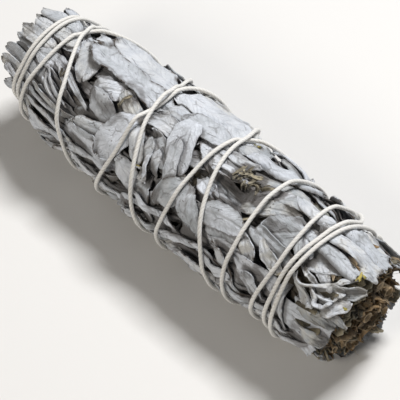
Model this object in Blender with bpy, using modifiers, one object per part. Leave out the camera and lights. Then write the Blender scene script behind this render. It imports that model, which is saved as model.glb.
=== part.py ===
"""A bunch of dried white sage: leafy stems cut to one length, laid side by side and bound with cotton string.

The bunch lies along X on the plane z = 0, its leaf tips at -X and its cut end at +X.
Sizes here are in millimetres and angles in degrees, and place() turns both into metres.
A place on the bunch is its station, measured along the bunch from the tip end, and its angle round the
bunch, 0 at the top and 90 on the -Y side. A leaf is shaped flat, over station and arc, and then wrapped round.
"""

import math
from collections import namedtuple

import bmesh
import bpy
import numpy as np
from mathutils import Vector
from mathutils.bvhtree import BVHTree

MM = 0.001

# The whole bunch
LENGTH = 125.0
AXIS_HEIGHT = 16.0
OUTLINE_STATIONS = (0, 5, 14, 25, 45, 65, 85, 105, 118, 125)
OUTLINE_RADII = (11.0, 12.6, 14.6, 16.9, 17.1, 17.7, 16.8, 16.2, 15.4, 14.0)
ARC_RADIUS = 17.0
GIRTH = 2 * math.pi * ARC_RADIUS
RESTING_FLAT = 1.7
FLAT_HEIGHT = 16.0
FLAT_RADIUS = 17.0

# Leafy stems: a middle one and eight round it, each with a packed core of its own
OUTER_STEMS = 8
CORE_DEPTH = 4.3
CORE_DEPTH_BEHIND = 2.7
UNDER_ROOM = 3.0
CORE_SLACK = 0.55
MIDDLE_RADIUS = 4.2
STEM_GAP = 0.36
CORE_START = 8.0
CORE_STEP = 9.0
CUT_STEM_RADIUS = 1.4
CUT_STEM_PROUD = 1.3
DOME = 3.4

# Leaves
LEAF_THICK = 0.6
UNDER_LEAF_THICK = 0.9
LEAF_GAP = 0.34
ROOT_LENGTH = 3.2
ROOT_SINK = 0.42
ROOT_SINK_CORE = 1.4

# String
STRING_RADIUS = 0.55
STRING_GAP = 0.3
STRING_STEP = 6.0
STRING_PRESS = 0.5
STRING_PRESS_REACH = 3.0
UNDER_PRESS = 1.3
UNDER_PRESS_REACH = 4.5

Leaf = namedtuple("Leaf", "station angle tip_station tip_angle width bow arch", defaults=(0.0, 0.0))

# The leaves of the side that shows, in the order they were laid: root, tip, width, sideways bow and arch
TIP_END_LEAVES = (
    Leaf(19, 10, 7, 8, 4.4),
    Leaf(20, 43, 5.5, 46, 3.4),
    Leaf(19, 78, 6, 74, 4.4, 0.5),
    Leaf(20, 96, 7, 92, 4.4),
    Leaf(19, -40, 6.5, -38, 4.6),
    Leaf(24, 33, 2.6, 33, 3.2, 0, 1.0),
    Leaf(21, 24, 4.8, 24, 4.8, 0, 0.5),
    Leaf(21, -10, 4.2, -11, 5.6, 0, 1.6),
    Leaf(20, 54, 3.4, 54, 4.8, 0.4),
    Leaf(20, 66, 4.2, 66, 4.0),
    Leaf(25, 5, 14, 5, 4.4),
    Leaf(26, 34, 14.6, 33, 5.4),
)
SPRIG_HOLLOW_STRIPS = (
    Leaf(38, 34, 22, 27, 3.0),
    Leaf(34, 58, 22, 42, 2.4),
    Leaf(30, 58, 21, 49, 3.4),
    Leaf(37, 67, 21, 62, 2.6, 0.8),
    Leaf(34, 78, 20, 72, 2.8, -0.8, 0.5),
    Leaf(36, 92, 20, 84, 4.0, 1.0),
    Leaf(38, 106, 20, 102, 4.6),
)
TIP_SIDE_LEAVES = (
    Leaf(56, -26, 28, -27, 9.0),
    Leaf(52, 95, 35, 97, 5.0),
    Leaf(55, 9, 30, 9, 6.4),
    Leaf(24, -16, 32, 30, 7.0, -0.8),
    Leaf(35, 36, 45, 14, 5.2),
    Leaf(37, 31, 48, 46, 6.4),
    Leaf(54, 28, 45, 14, 4.4),
    Leaf(57, -2, 26.5, -4, 6.6, -0.6, 1.3),
    Leaf(36, 67, 50, 60, 3.0, 0, 0.8),
    Leaf(50, 50, 36.5, 62, 3.6, 0, 0.8),
    Leaf(52, 82, 33, 80, 6.4, 1.0),
    Leaf(52.5, 25, 47.5, 73, 8.4),
)
MIDDLE_LEAVES = (
    Leaf(74, -46, 54, -44, 6.5),
    Leaf(55, -3, 72, -16, 6.0),
    Leaf(52, -22, 77, -33, 8.0),
    Leaf(69, 7, 53, 8, 4.4),
    Leaf(69, 17, 53.5, 17, 4.4, 0.6),
    Leaf(76, -12, 62, -3, 6.0),
    Leaf(58, 26, 67, 42, 5.4),
    Leaf(65, 62, 63.5, 34, 3.4, 0, 0.6),
    Leaf(61, 60, 60, 31, 4.0, 0, 0.6),
    Leaf(54, 28, 60, 56, 5.0),
    Leaf(64.5, -6, 70, 42, 6.8, 0.5),
    Leaf(71, 62, 66.5, 20, 3.6),
    Leaf(54, 88, 64, 80, 3.4),
    Leaf(53, 64, 63, 82, 6.4),
    Leaf(66, 94, 68, 66, 2.2, 0, 0.8),
    Leaf(71, 98, 70, 66, 2.2, 0, 0.8),
    Leaf(63, 60, 66, 106, 5.4),
    Leaf(74, 40, 70, 74, 6.4),
)
CUT_SIDE_LEAVES = (
    Leaf(76, -12, 82, -36, 5.0),
    Leaf(80, -3, 100, -15, 9.0, -0.6),
    Leaf(79, -16, 98, -44, 4.2, 0.8, 1.2),
    Leaf(74, 3, 86, -1, 1.8, 0, 0.6),
    Leaf(75, 9, 86, 4, 1.8, 0, 0.6),
    Leaf(77, 20, 91, 22, 6.0, 0.5),
    Leaf(88, 25, 97.5, -8, 8.0),
    Leaf(88, 29, 102, 3, 4.2, -0.6),
    Leaf(107, 4, 98, 34, 7.6),
    Leaf(79, 34, 90, 36, 3.4),
    Leaf(74, 30, 82, 36, 4.2),
    Leaf(74, 86, 88, 72, 6.0),
    Leaf(75, 42, 81, 74, 6.0),
    Leaf(82, 60, 98, 45, 6.6, -1.2),
    Leaf(80, 54, 94, 42, 6.2, -1.0),
    Leaf(87, 68, 97, 62, 4.4),
    Leaf(86, 78, 97, 76, 4.4),
    Leaf(86, 92, 97, 88, 5.0),
    Leaf(74, 98, 87, 96, 5.6),
    Leaf(94, 34, 108, 40, 4.4),
    Leaf(94, 44, 99, 60, 4.4),
    Leaf(94, 92, 110, 95, 5.0),
    Leaf(94, 80, 109, 82, 4.6),
    Leaf(94, 66, 108, 66, 4.6),
)
CUT_END_LEAVES = (
    Leaf(95, 1, 104.5, -9, 3.2, 0, 1.0),
    Leaf(97, -12, 109, -14, 3.4, 2.0, 0.8),
    Leaf(106, -36, 113, -30, 5.0),
    Leaf(105, 14, 111, 26, 3.0, 0, 0.6),
    Leaf(106, 34, 118, 40, 2.0, 0, 0.6),
    Leaf(110, 24, 120, 27, 3.4),
    Leaf(112, 62, 124, 60, 4.4),
    Leaf(107, 90, 120, 112, 5.6),
    Leaf(108, 78, 123.5, 80, 7.0),
    Leaf(109, 58, 112, 106, 3.8, 0.8),
    Leaf(108, -24, 123.5, -24, 6.0, 0, 0.5),
    Leaf(107, 8, 122, 10, 4.4, 0, 1.4),
    Leaf(107, -3, 124.4, -9, 4.4, 0, 1.5),
    Leaf(108, 44, 118, 58, 3.2, 0, 1.1),
    Leaf(110, 48, 122, 40, 3.4, 0.8),
    Leaf(113, 44, 126, 13, 2.8, -0.8, 0.6),
)
SHOWN_SIDE = TIP_END_LEAVES + SPRIG_HOLLOW_STRIPS + TIP_SIDE_LEAVES + MIDDLE_LEAVES + CUT_SIDE_LEAVES + CUT_END_LEAVES

# The string's route: station and angle, winding on by 360 degrees a turn
STRING_TURNS = (
    ((-85, 110.6), (-30, 111.2), (20, 110.9), (60, 109.9), (100, 109.6), (210, 108.0)),
    ((-25, 104.3), (10, 105.9), (45, 106.0), (70, 104.8), (100, 103.2), (210, 99.0)),
    ((-30, 93.0), (20, 93.8), (60, 94.6), (95, 94.2), (210, 94.0), (255, 91.5)),
    ((-35, 74.5), (10, 74.2), (60, 73.8), (80, 72.6), (105, 70.2), (210, 68.4), (255, 65.5)),
    ((-30, 52.6), (0, 53.4), (30, 53.5), (60, 52.8), (85, 50.7), (110, 47.8), (210, 43.8), (255, 40.0)),
    ((-20, 20.3), (20, 20.0), (50, 19.4), (80, 17.6), (105, 15.9), (210, 16.2)),
    ((-30, 13.2), (30, 13.9), (60, 13.6), (90, 12.7), (110, 11.9), (210, 12.2)),
    ((-30, 14.7), (30, 15.4), (60, 15.1), (90, 14.3), (110, 14.0), (210, 14.2)),
    ((-25, 19.2), (0, 22.2), (20, 26.2), (40, 30.0), (60, 32.2), (85, 33.9), (110, 35.4), (210, 37.4), (255, 39.6)),
    ((-30, 50.9), (0, 53.6), (20, 55.6), (40, 58.3), (60, 60.7), (80, 62.4), (105, 64.0), (210, 63.6), (255, 64.2)),
    ((-30, 75.0), (0, 77.4), (30, 80.3), (50, 82.4), (70, 84.8), (85, 86.8), (105, 88.6), (210, 89.2), (255, 90.6)),
    ((-25, 109.7), (10, 109.7), (30, 109.1), (50, 108.5), (75, 108.0), (100, 107.2), (210, 106.4), (258.5, 108.2)),
)


def clear_scene():
    """Starts from an empty scene."""
    for found in list(bpy.data.objects):
        bpy.data.objects.remove(found)


def material(name, colour, roughness):
    """A Principled material of one colour."""
    made = bpy.data.materials.new(name)
    made.use_nodes = True
    shader = made.node_tree.nodes["Principled BSDF"]
    shader.inputs["Base Color"].default_value = (*colour, 1.0)
    shader.inputs["Roughness"].default_value = roughness
    return made


def outline_radius(station):
    """Radius of the finished bunch at a station."""
    return np.interp(station, OUTLINE_STATIONS, OUTLINE_RADII)


def core_radius(station, angle):
    """Radius of the packed inner leaves, which the outer leaves lie on."""
    under = np.clip((-np.cos(np.radians(angle)) - 0.5) / 0.4, 0, 1)
    shown = np.clip((np.cos(np.radians(angle - 38)) + 0.1) / 0.3, 0, 1)
    depth = CORE_DEPTH_BEHIND + (CORE_DEPTH - CORE_DEPTH_BEHIND) * shown
    return outline_radius(station) - depth - UNDER_ROOM * under


def arc(angle):
    """Arc length round the bunch, at its nominal radius, of an angle in degrees."""
    return np.radians(angle) * ARC_RADIUS


def place(station, around, radius):
    """The point in metres at a station, an arc round the bunch and a radius from its axis."""
    angle = np.asarray(around) / ARC_RADIUS
    x = (np.asarray(station) - LENGTH / 2) * MM + 0 * angle
    y = -np.asarray(radius) * np.sin(angle) * MM
    z = (AXIS_HEIGHT + np.asarray(radius) * np.cos(angle)) * MM
    return np.stack([x, y, z], axis=-1)


def core_slack(angle):
    """How far the packed core stays inside its radius, which leaves room for leaves to be pressed in."""
    return CORE_SLACK + (UNDER_PRESS - STRING_PRESS) * under_share(angle)


def under_share(angle):
    """How much an angle counts as the under side, from 0 to 1."""
    return np.clip((np.cos(np.radians(angle - 180)) - 0.6) / 0.3, 0, 1)


class Skin:
    """The outer surface as leaf after leaf is laid on it: its radius, and which leafy stem is outermost."""

    CELL = 0.5
    MARGIN = 12.0
    NOTHING = -1

    def __init__(self):
        self.rows = int((LENGTH + 2 * self.MARGIN) / self.CELL)
        self.columns = round(GIRTH / self.CELL)
        stations = np.arange(self.rows) * self.CELL - self.MARGIN
        angles = np.arange(self.columns) * 360.0 / self.columns
        self.radius = core_radius(stations[:, None], angles[None, :])
        self.owner = np.full(self.radius.shape, self.NOTHING)
        inside = (stations > CORE_START + CORE_STEP) & (stations < LENGTH - DOME - 1.0)
        stem = stem_at(stations[:, None], angles[None, :])
        self.owner[inside] = stem[inside]
        self.is_core = np.ones(self.radius.shape, bool)

    def cell(self, station, around):
        row = np.clip(np.rint((station + self.MARGIN) / self.CELL).astype(int), 0, self.rows - 1)
        column = np.rint(around / GIRTH * self.columns).astype(int) % self.columns
        return row, column

    def highest(self, station, around, reach):
        """Largest radius within reach of each point."""
        row, column = self.cell(station, around)
        steps = range(-round(reach / self.CELL), round(reach / self.CELL) + 1)
        found = [
            self.radius[np.clip(row + i, 0, self.rows - 1), (column + j) % self.columns]
            for i in steps
            for j in steps
        ]
        return np.max(found, axis=0)

    def cover(self, station, around, radius, owner):
        """Raises the surface to a new leaf's upper face."""
        row, column = self.cell(station.ravel(), around.ravel())
        flat = row * self.columns + column
        top = np.zeros(self.radius.size)
        np.maximum.at(top, flat, radius.ravel())
        covered = (top.reshape(self.radius.shape)) > self.radius
        self.radius[covered] = top.reshape(self.radius.shape)[covered]
        self.owner[covered] = owner
        self.is_core[covered] = False


def seam_angle(seam, station):
    """Angle of the seam between two outer leafy stems, which twist a little along the bunch."""
    twist = 9.0 * np.sin(station / 24.0) + 4.0 * np.sin(station / 11.0 + 2.1 * (seam % OUTER_STEMS))
    return 360.0 / OUTER_STEMS * seam + twist


def stem_at(station, angle):
    """Number of the outer leafy stem whose core lies at a station and angle."""
    found = np.zeros(np.broadcast(station, angle).shape, int)
    for seam in range(OUTER_STEMS):
        past = (angle - seam_angle(seam, station)) % 360.0
        width = (seam_angle(seam + 1, station) - seam_angle(seam, station)) % 360.0
        found = np.where(past < width, seam, found)
    return found


def leaf_half_width(leaf, along):
    """Half the width of a leaf at a share of its length: a short stalk, a long blade and a blunt tip."""
    stalk = np.clip(0.3 + along * leaf_length(leaf) / 8.0, 0, 1)
    tip = np.sqrt(np.clip(1 - (np.clip(along - 0.55, 0, 1) / 0.455) ** 2, 0.02, 1))
    return leaf.width / 2 * stalk * tip


def leaf_points(leaf, along, across, shift):
    """Station and arc of the points of a leaf, laid flat with its root moved by shift."""
    start = np.array([leaf.station + shift[0], arc(leaf.angle) + shift[1]])
    end = np.array([leaf.tip_station, arc(leaf.tip_angle)])
    run = end - start
    length = math.hypot(*run)
    side = np.array([-run[1], run[0]]) / length
    off = leaf.bow * 4 * along * (1 - along) + across * leaf_half_width(leaf, along)
    return start[0] + run[0] * along + side[0] * off, start[1] + run[1] * along + side[1] * off


def leaf_length(leaf):
    return math.hypot(leaf.tip_station - leaf.station, arc(leaf.tip_angle - leaf.angle))


def best_root(skin, leaf):
    """How far to move a leaf's root so that it sits on one leafy stem only, and which one."""
    root_share = 1.12 * ROOT_LENGTH / leaf_length(leaf)
    along, across = np.meshgrid(np.linspace(-0.03, root_share, 12), np.linspace(-1.3, 1.3, 9), indexing="ij")
    offsets = np.array([(i, j) for i in range(-8, 9) for j in range(-8, 9)]) * 0.6
    best = None
    for shift in sorted(offsets.tolist(), key=lambda o: math.hypot(*o)):
        station, around = leaf_points(leaf, along, across, shift)
        row, column = skin.cell(station, around)
        owners = skin.owner[row, column]
        at_root = owners[: len(along) // 2]
        owner = np.bincount(np.maximum(at_root, 0).ravel()).argmax()
        wrong = (owners != owner).sum()
        rough = np.ptp(skin.radius[row, column][:5])
        score = 3.0 * wrong + 2.0 * max(0.0, rough - 0.4) + 0.25 * math.hypot(*shift)
        if best is None or score < best[0] - 1e-9:
            best = (score, shift, owner, wrong)
    return best


def linear_weights(coarse, fine):
    """Matrix that reads values at fine shares from values at coarse ones."""
    return np.stack([np.interp(fine, coarse, row) for row in np.eye(len(coarse))], axis=1)


def draped_radius(skin, leaf, along, across, shift, cells):
    """Radius of a leaf's under side, lying on what is there: stiff, so it bridges hollows, and clear of it all."""
    grid_along, grid_across = np.meshgrid(along, across, indexing="ij")
    station, around = leaf_points(leaf, grid_along, grid_across, shift)
    support = skin.highest(station, around, 0.5)
    radius = support.copy()
    for _ in range(2):
        padded = np.pad(radius, 1, mode="edge")
        mean = (padded[:-2, 1:-1] + padded[2:, 1:-1] + padded[1:-1, :-2] + padded[1:-1, 2:]) / 4
        radius = np.maximum(support, mean)
    radius = radius + leaf.arch * (1 - grid_across**2) * np.clip(grid_along * 6, 0, 1)
    fine_along, fine_across = (np.linspace(c[0], c[-1], n) for c, n in zip((along, across), cells))
    read_along = linear_weights(along, fine_along)
    read_across = linear_weights(across, fine_across)
    fine_station, fine_around = leaf_points(leaf, *np.meshgrid(fine_along, fine_across, indexing="ij"), shift)
    needed = skin.highest(fine_station, fine_around, 0.5)
    short = np.maximum(0, needed - read_along @ radius @ read_across.T)
    raise_by = np.zeros_like(radius)
    for i in range(len(along)):
        for j in range(len(across)):
            near = np.outer(read_along[:, i] > 1e-6, read_across[:, j] > 1e-6)
            raise_by[i, j] = short[near].max(initial=0)
    return station, around, radius + raise_by, (fine_station, fine_around, read_along, read_across)


def lay_leaf(skin, leaf, thickness=LEAF_THICK):
    """Lays one leaf on the skin. Gives its upper face as flat points, its thickness and its leafy stem."""
    score, shift, owner, wrong = best_root(skin, leaf)
    length = leaf_length(leaf)
    rows = max(3, round(length / 4.6))
    columns = 1 if leaf.width < 2.7 else 2 if leaf.width < 7.3 else 3
    along = np.concatenate([[0], np.linspace(ROOT_LENGTH / length, 1, rows)])
    across = np.linspace(-1, 1, columns + 1)
    cells = (max(6, round(length / 0.3)), max(6, round(leaf.width / 0.3)))
    station, around, radius, fine = draped_radius(skin, leaf, along, across, shift, cells)
    top = radius + LEAF_GAP + thickness
    row, column = skin.cell(station, around)
    deep = ROOT_SINK_CORE + core_slack(np.degrees(around / ARC_RADIUS)) - CORE_SLACK
    sink = np.where(skin.is_core[row, column], deep, ROOT_SINK)
    sunk = skin.radius[row, column] - sink + thickness
    share = np.clip(1 - along * length / ROOT_LENGTH, 0, 1)[:, None]
    rooted = np.where(share > 0.99, sunk, top * (1 - share) + sunk * share)
    fine_station, fine_around, read_along, read_across = fine
    skin.cover(fine_station, fine_around, read_along @ rooted @ read_across.T, owner)
    return np.stack([station, around, rooted], axis=-1), thickness, int(owner), wrong


def solid_leaf(name, points, thickness, depth_of):
    """A leaf as a closed solid: its upper face as a grid, thickened with Solidify while flat, then wrapped round."""
    rows, columns = points.shape[0] - 1, points.shape[1] - 1
    bm = bmesh.new()
    bmesh.ops.create_grid(bm, x_segments=rows, y_segments=columns, size=1)
    bm.verts.ensure_lookup_table()
    for vertex in bm.verts:
        i = round((vertex.co.x + 1) / 2 * rows)
        j = round((vertex.co.y + 1) / 2 * columns)
        vertex.co = points[i, j]
    bm.normal_update()
    if sum(face.normal.z for face in bm.faces) < 0:
        bmesh.ops.reverse_faces(bm, faces=bm.faces)
    bmesh.ops.triangulate(bm, faces=bm.faces)
    flat = bpy.data.meshes.new(name)
    bm.to_mesh(flat)
    bm.free()
    leaf = bpy.data.objects.new(name, flat)
    bpy.context.scene.collection.objects.link(leaf)
    shell = leaf.modifiers.new("thickness", "SOLIDIFY")
    shell.thickness = thickness
    shell.offset = -1
    return wrapped(leaf, depth_of)


def wrapped(flat_object, depth_of):
    """Wraps an object modelled flat, over station and arc, round the bunch, pressed in by depth_of."""
    graph = bpy.context.evaluated_depsgraph_get()
    mesh = bpy.data.meshes.new_from_object(flat_object.evaluated_get(graph))
    flat_object.modifiers.clear()
    flat_object.data = mesh
    points = np.empty(len(mesh.vertices) * 3, np.float32)
    mesh.vertices.foreach_get("co", points)
    station, around, radius = points.reshape(-1, 3).astype(float).T
    world = place(station, around, radius - depth_of(station, around))
    mesh.vertices.foreach_set("co", world.astype(np.float32).ravel())
    mesh.flip_normals()
    mesh.update()
    return flat_object


def string_route():
    """Station and running angle of the string along its whole length, with its bends rounded."""
    angles = [angle + 360 * turn for turn, marks in enumerate(STRING_TURNS) for angle, _ in marks]
    stations = [station for marks in STRING_TURNS for _, station in marks]
    fine = np.arange(angles[0], angles[-1], 2.0)
    straight = np.interp(fine, angles, stations)
    weights = np.exp(-((np.arange(-8, 9) / 4.5) ** 2))
    padded = np.pad(straight, 8, mode="edge")
    return np.convolve(padded, weights / weights.sum(), mode="valid"), fine


def flattening(angle):
    """How far the under side is pressed in towards the axis, so that the bunch lies flat."""
    below = np.radians(np.clip((angle - 180) % 360 - 360 * ((angle - 180) % 360 > 180), -60, 60))
    return np.maximum(0, FLAT_RADIUS - FLAT_HEIGHT / np.cos(below))


ROUTE_STATIONS, ROUTE_ANGLES = string_route()


def pressing(station, around):
    """How far the string presses the leaves in, with the flattening of the under side."""
    angle = np.degrees(np.asarray(around) / ARC_RADIUS)
    near = np.full(np.shape(station), 1e9)
    for mark_station, mark_angle in zip(ROUTE_STATIONS, ROUTE_ANGLES):
        aside = arc((angle - mark_angle + 180) % 360 - 180)
        near = np.minimum(near, (station - mark_station) ** 2 + aside**2)
    under = under_share(angle)
    depth = STRING_PRESS + (UNDER_PRESS - STRING_PRESS) * under
    reach = STRING_PRESS_REACH + (UNDER_PRESS_REACH - STRING_PRESS_REACH) * under
    return depth * np.exp(-near / reach**2) + flattening(angle)


def loft(name, rings):
    """A closed solid through rings of points in metres, each ring as long as the next, with flat ends."""
    bm = bmesh.new()
    rows = [[bm.verts.new(point) for point in ring] for ring in rings]
    for near, far in zip(rows, rows[1:]):
        for i in range(len(near)):
            k = (i + 1) % len(near)
            bm.faces.new((near[i], near[k], far[k], far[i]))
    bm.faces.new(rows[0][::-1])
    bm.faces.new(rows[-1])
    bmesh.ops.recalc_face_normals(bm, faces=bm.faces)
    bmesh.ops.triangulate(bm, faces=bm.faces)
    return mesh_object(name, bm)


def mesh_object(name, bm):
    mesh = bpy.data.meshes.new(name)
    bm.to_mesh(mesh)
    bm.free()
    made = bpy.data.objects.new(name, mesh)
    bpy.context.scene.collection.objects.link(made)
    return made


def cut_end_station(radius):
    """Station of the cut face, which is a little domed."""
    return LENGTH - 1.6 - DOME * (radius / 13.0) ** 2


def outer_core(stem):
    """The packed leaves of an outer leafy stem: a wedge of the bunch, tapered at its tip end."""
    rings = []
    stations = list(np.arange(CORE_START, LENGTH - 8, CORE_STEP)) + [LENGTH]
    for number, station in enumerate(stations):
        taper = 1.0 if number else 0.72
        start, end = (seam_angle(stem + side, station) for side in (0, 1))
        inner = MIDDLE_RADIUS + STEM_GAP
        edge = np.degrees(STEM_GAP / 2 / 12.0)
        angles = np.linspace(start + edge, end - edge, 4)
        outer = (core_radius(min(station, 118), angles) - core_slack(angles)) * taper - flattening(angles)
        ring = list(zip(angles, outer))
        edge = np.degrees(STEM_GAP / 2 / inner)
        ring += [(end - edge, inner), (start + edge, inner)]
        at = [cut_end_station(r) if station == LENGTH else station - 1.5 * (r < 6) for _, r in ring]
        rings.append([place(u, arc(angle), r) for u, (angle, r) in zip(at, ring)])
    return loft(f"core_{stem}", rings)


def middle_core():
    """The packed leaves of the middle leafy stem."""
    rings = []
    for station, radius in ((13.0, 1.6), (17.0, 3.6), (24.0, MIDDLE_RADIUS), (LENGTH - 1.6, MIDDLE_RADIUS)):
        rings.append([place(station, arc(angle), radius) for angle in np.arange(8) * 45.0])
    return loft("core_middle", rings)


def cut_stem(name, radius, angle):
    """The end of a cut stem: a short round stub, standing proud of the cut face."""
    bm = bmesh.new()
    bmesh.ops.create_cone(
        bm, cap_ends=True, segments=8, radius1=CUT_STEM_RADIUS * MM, radius2=CUT_STEM_RADIUS * MM, depth=10 * MM
    )
    bmesh.ops.rotate(bm, verts=bm.verts, matrix=Vector((0, 0, 1)).rotation_difference(Vector((1, 0, 0))).to_matrix())
    bmesh.ops.triangulate(bm, faces=bm.faces)
    made = mesh_object(name, bm)
    made.location = place(cut_end_station(radius) + CUT_STEM_PROUD - 5, arc(angle), radius)
    return made


def cut_leaf_end(name, radius, angle, tilt, width, proud):
    """A cut leaf's end: a thin plate on edge in the cut face, turned about the bunch by tilt."""
    bm = bmesh.new()
    bmesh.ops.create_cube(bm, size=MM)
    bmesh.ops.scale(bm, verts=bm.verts, vec=(8, width, 0.75))
    bmesh.ops.triangulate(bm, faces=bm.faces)
    made = mesh_object(name, bm)
    made.rotation_euler = (math.radians(-angle + tilt), 0, 0)
    made.location = place(cut_end_station(radius) + proud - 4, arc(angle), radius)
    return made


def inner_tip(name, angle, radius, start, end, width):
    """A leaf tip that stands out of the packed core at the tip end."""
    rows = []
    for share, wide, rise in ((0, 0.7, 0), (0.45, 1.0, 0.5), (0.8, 0.7, 0.7), (1.0, 0.25, 0.4)):
        station = start + (end - start) * share
        rows.append([(station, arc(angle) + side * wide * width / 2, radius + rise) for side in (-1, 0, 1)])
    points = np.array(rows)
    points[:, :, 1] = arc(angle) + (points[:, :, 1] - arc(angle)) * ARC_RADIUS / radius
    return solid_leaf(name, points, LEAF_THICK, lambda station, around: 0)


def back_leaves():
    """The leaves of the side that doesn't show: scattered evenly, tips towards the tip end."""
    rng = np.random.default_rng(41)
    found = []
    for row, station in enumerate((24, 43, 61, 79, 97, 113)):
        for column in range(5):
            angle = 130 + column * 38 + (19 if row % 2 else 0) + rng.uniform(-5, 5)
            root = station + rng.uniform(-3, 3)
            reach = rng.uniform(18, 23) if row else 18.0
            turn = rng.uniform(-9, 9)
            tip = max(root - reach, rng.uniform(3.5, 8))
            found.append(Leaf(root, angle, tip, angle + turn, rng.uniform(7.2, 9.4), rng.uniform(-1, 1)))
    for angle in (134, 175, 216, 258, 300):
        found.append(Leaf(108.5, angle, rng.uniform(121, 124), angle + rng.uniform(-6, 6), rng.uniform(5.5, 7.5)))
    return found


# The leaves that bulge between the turns of the string below, and that the bunch lies on
UNDER_LEAVES = (
    Leaf(34, 177, 20, 183, 8.0),
    Leaf(60.5, 184, 48, 178, 8.0),
    Leaf(86.5, 177, 72.5, 183, 8.0),
)
RESTING_LEAVES = (
    Leaf(33, 182, 20, 182, 9.5, 0, 0.8),
    Leaf(59.5, 182, 47.5, 182, 9.5, 0, 0.8),
    Leaf(85.5, 182, 72.5, 182, 9.5, 0, 0.8),
)


def fused(name, pieces, look):
    """One solid from pieces that sink into each other."""
    body, rest = pieces[0], pieces[1:]
    body.name = name
    body.data.name = name
    group = bpy.data.collections.new(name + "_pieces")
    bpy.context.scene.collection.children.link(group)
    for piece in rest:
        bpy.context.scene.collection.objects.unlink(piece)
        group.objects.link(piece)
    bpy.context.view_layer.update()
    for solver in ("EXACT", "MANIFOLD"):
        union = body.modifiers.new("fuse", "BOOLEAN")
        union.operation = "UNION"
        union.solver = solver
        union.operand_type = "COLLECTION"
        union.collection = group
        graph = bpy.context.evaluated_depsgraph_get()
        result = bpy.data.meshes.new_from_object(body.evaluated_get(graph))
        body.modifiers.clear()
        if is_closed(result):
            break
    body.data = result
    for piece in rest:
        bpy.data.objects.remove(piece)
    bpy.data.collections.remove(group)
    body.data.materials.clear()
    body.data.materials.append(look)
    return body


def is_closed(mesh):
    bm = bmesh.new()
    bm.from_mesh(mesh)
    closed = len(bm.faces) > 0 and all(edge.is_manifold for edge in bm.edges)
    bm.free()
    return closed


def world_vertices(found):
    points = np.empty(len(found.data.vertices) * 3, np.float32)
    found.data.vertices.foreach_get("co", points)
    return points.reshape(-1, 3)


def make_leafy_stems():
    """Every leafy stem, core and leaves together, and the height of the plane that they rest on."""
    skin = Skin()
    pieces = {stem: [outer_core(stem)] for stem in range(OUTER_STEMS)}
    resting = []
    laid = [(leaf, LEAF_THICK) for leaf in back_leaves() + list(SHOWN_SIDE)]
    laid += [(leaf, UNDER_LEAF_THICK) for leaf in UNDER_LEAVES + RESTING_LEAVES]
    for number, (leaf, thickness) in enumerate(laid):
        points, thickness, stem, wrong = lay_leaf(skin, leaf, thickness)
        if wrong:
            print("root over a seam:", number, leaf, wrong)
        made = solid_leaf(f"leaf_{number}", points, thickness, pressing)
        pieces[stem].append(made)
        if leaf in RESTING_LEAVES:
            resting.append((made, points.shape[0] * points.shape[1]))
    floor = min(world_vertices(piece)[:, 2].min() for group in pieces.values() for piece in group)
    for leaf, outer_count in resting:
        points = world_vertices(leaf)
        outer = points[:outer_count]
        outer[outer[:, 2] < floor + RESTING_FLAT * MM, 2] = floor
        leaf.data.vertices.foreach_set("co", points.ravel())
        leaf.data.update()
    rng = np.random.default_rng(7)
    for stem, group in pieces.items():
        seams = [float(seam_angle(stem + side, 119.0)) for side in (0, 1)]
        middle, spread = sum(seams) / 2, seams[1] - seams[0]
        group.append(cut_stem(f"stub_{stem}", 7.9 + rng.uniform(-0.4, 0.4), middle + rng.uniform(-3, 3)))
        rim = float(core_radius(118, middle)) - core_slack(middle) - flattening(middle)
        for k, inward in enumerate((1.6, 1.8, 5.0)):
            angle, radius = middle + spread * (-0.19, 0.19, 0)[k], max(rim - inward, 6.2)
            tilt, proud = rng.uniform(-8, 8), rng.uniform(0.8, 2.0)
            wide = min(3.4, math.radians(spread) * radius * 0.44)
            group.append(cut_leaf_end(f"end_{stem}_{k}", radius, angle, tilt, wide, proud))
        tip_middle = float(seam_angle(stem, 12.0) + seam_angle(stem + 1, 12.0)) / 2
        group.append(inner_tip(f"tip_{stem}", tip_middle, 7.0, 17.0, rng.uniform(4.5, 7.5), 3.6))
    nodes = [fused(f"leafy_stem_{stem + 1}", group, LEAF_LOOK) for stem, group in pieces.items()]
    middle_pieces = [middle_core(), cut_stem("stub_middle", 0.0, 0.0)]
    middle_pieces.append(cut_leaf_end("end_middle_0", 2.7, 70, 10, 2.4, 1.4))
    middle_pieces.append(cut_leaf_end("end_middle_1", 2.7, 250, -14, 2.4, 0.9))
    middle_pieces.append(inner_tip("tip_middle", 0, 1.4, 20.0, 6.0, 2.6))
    nodes.append(fused("middle_stem", middle_pieces, LEAF_LOOK))
    return nodes, floor


def outermost(tree, station, angle, reach):
    """Radius of the outermost leaf within reach of a place on the bunch."""
    found = 0.0
    for i in (-1, 0, 1):
        for j in (-1, 0, 1):
            at, turn = station + i * reach, arc(angle) + j * reach
            start = Vector(place(at, turn, 30.0))
            axis = Vector(place(at, turn, 0.0))
            hit = tree.ray_cast(start, (axis - start).normalized(), 28 * MM)[0]
            if hit is not None:
                found = max(found, (hit - axis).length / MM)
    return found


def route_distance(n, others):
    """Distance between the n-th place of the string's route and others, seen from outside the bunch."""
    turn = (ROUTE_ANGLES[others] - ROUTE_ANGLES[n] + 180) % 360 - 180
    return np.hypot(ROUTE_STATIONS[others] - ROUTE_STATIONS[n], arc(turn))


def over_earlier(n, along, clear):
    """The earlier places of the route that the n-th place lies over."""
    past = np.flatnonzero(along < along[n] - 14)
    return past[route_distance(n, past) < clear]


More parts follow.
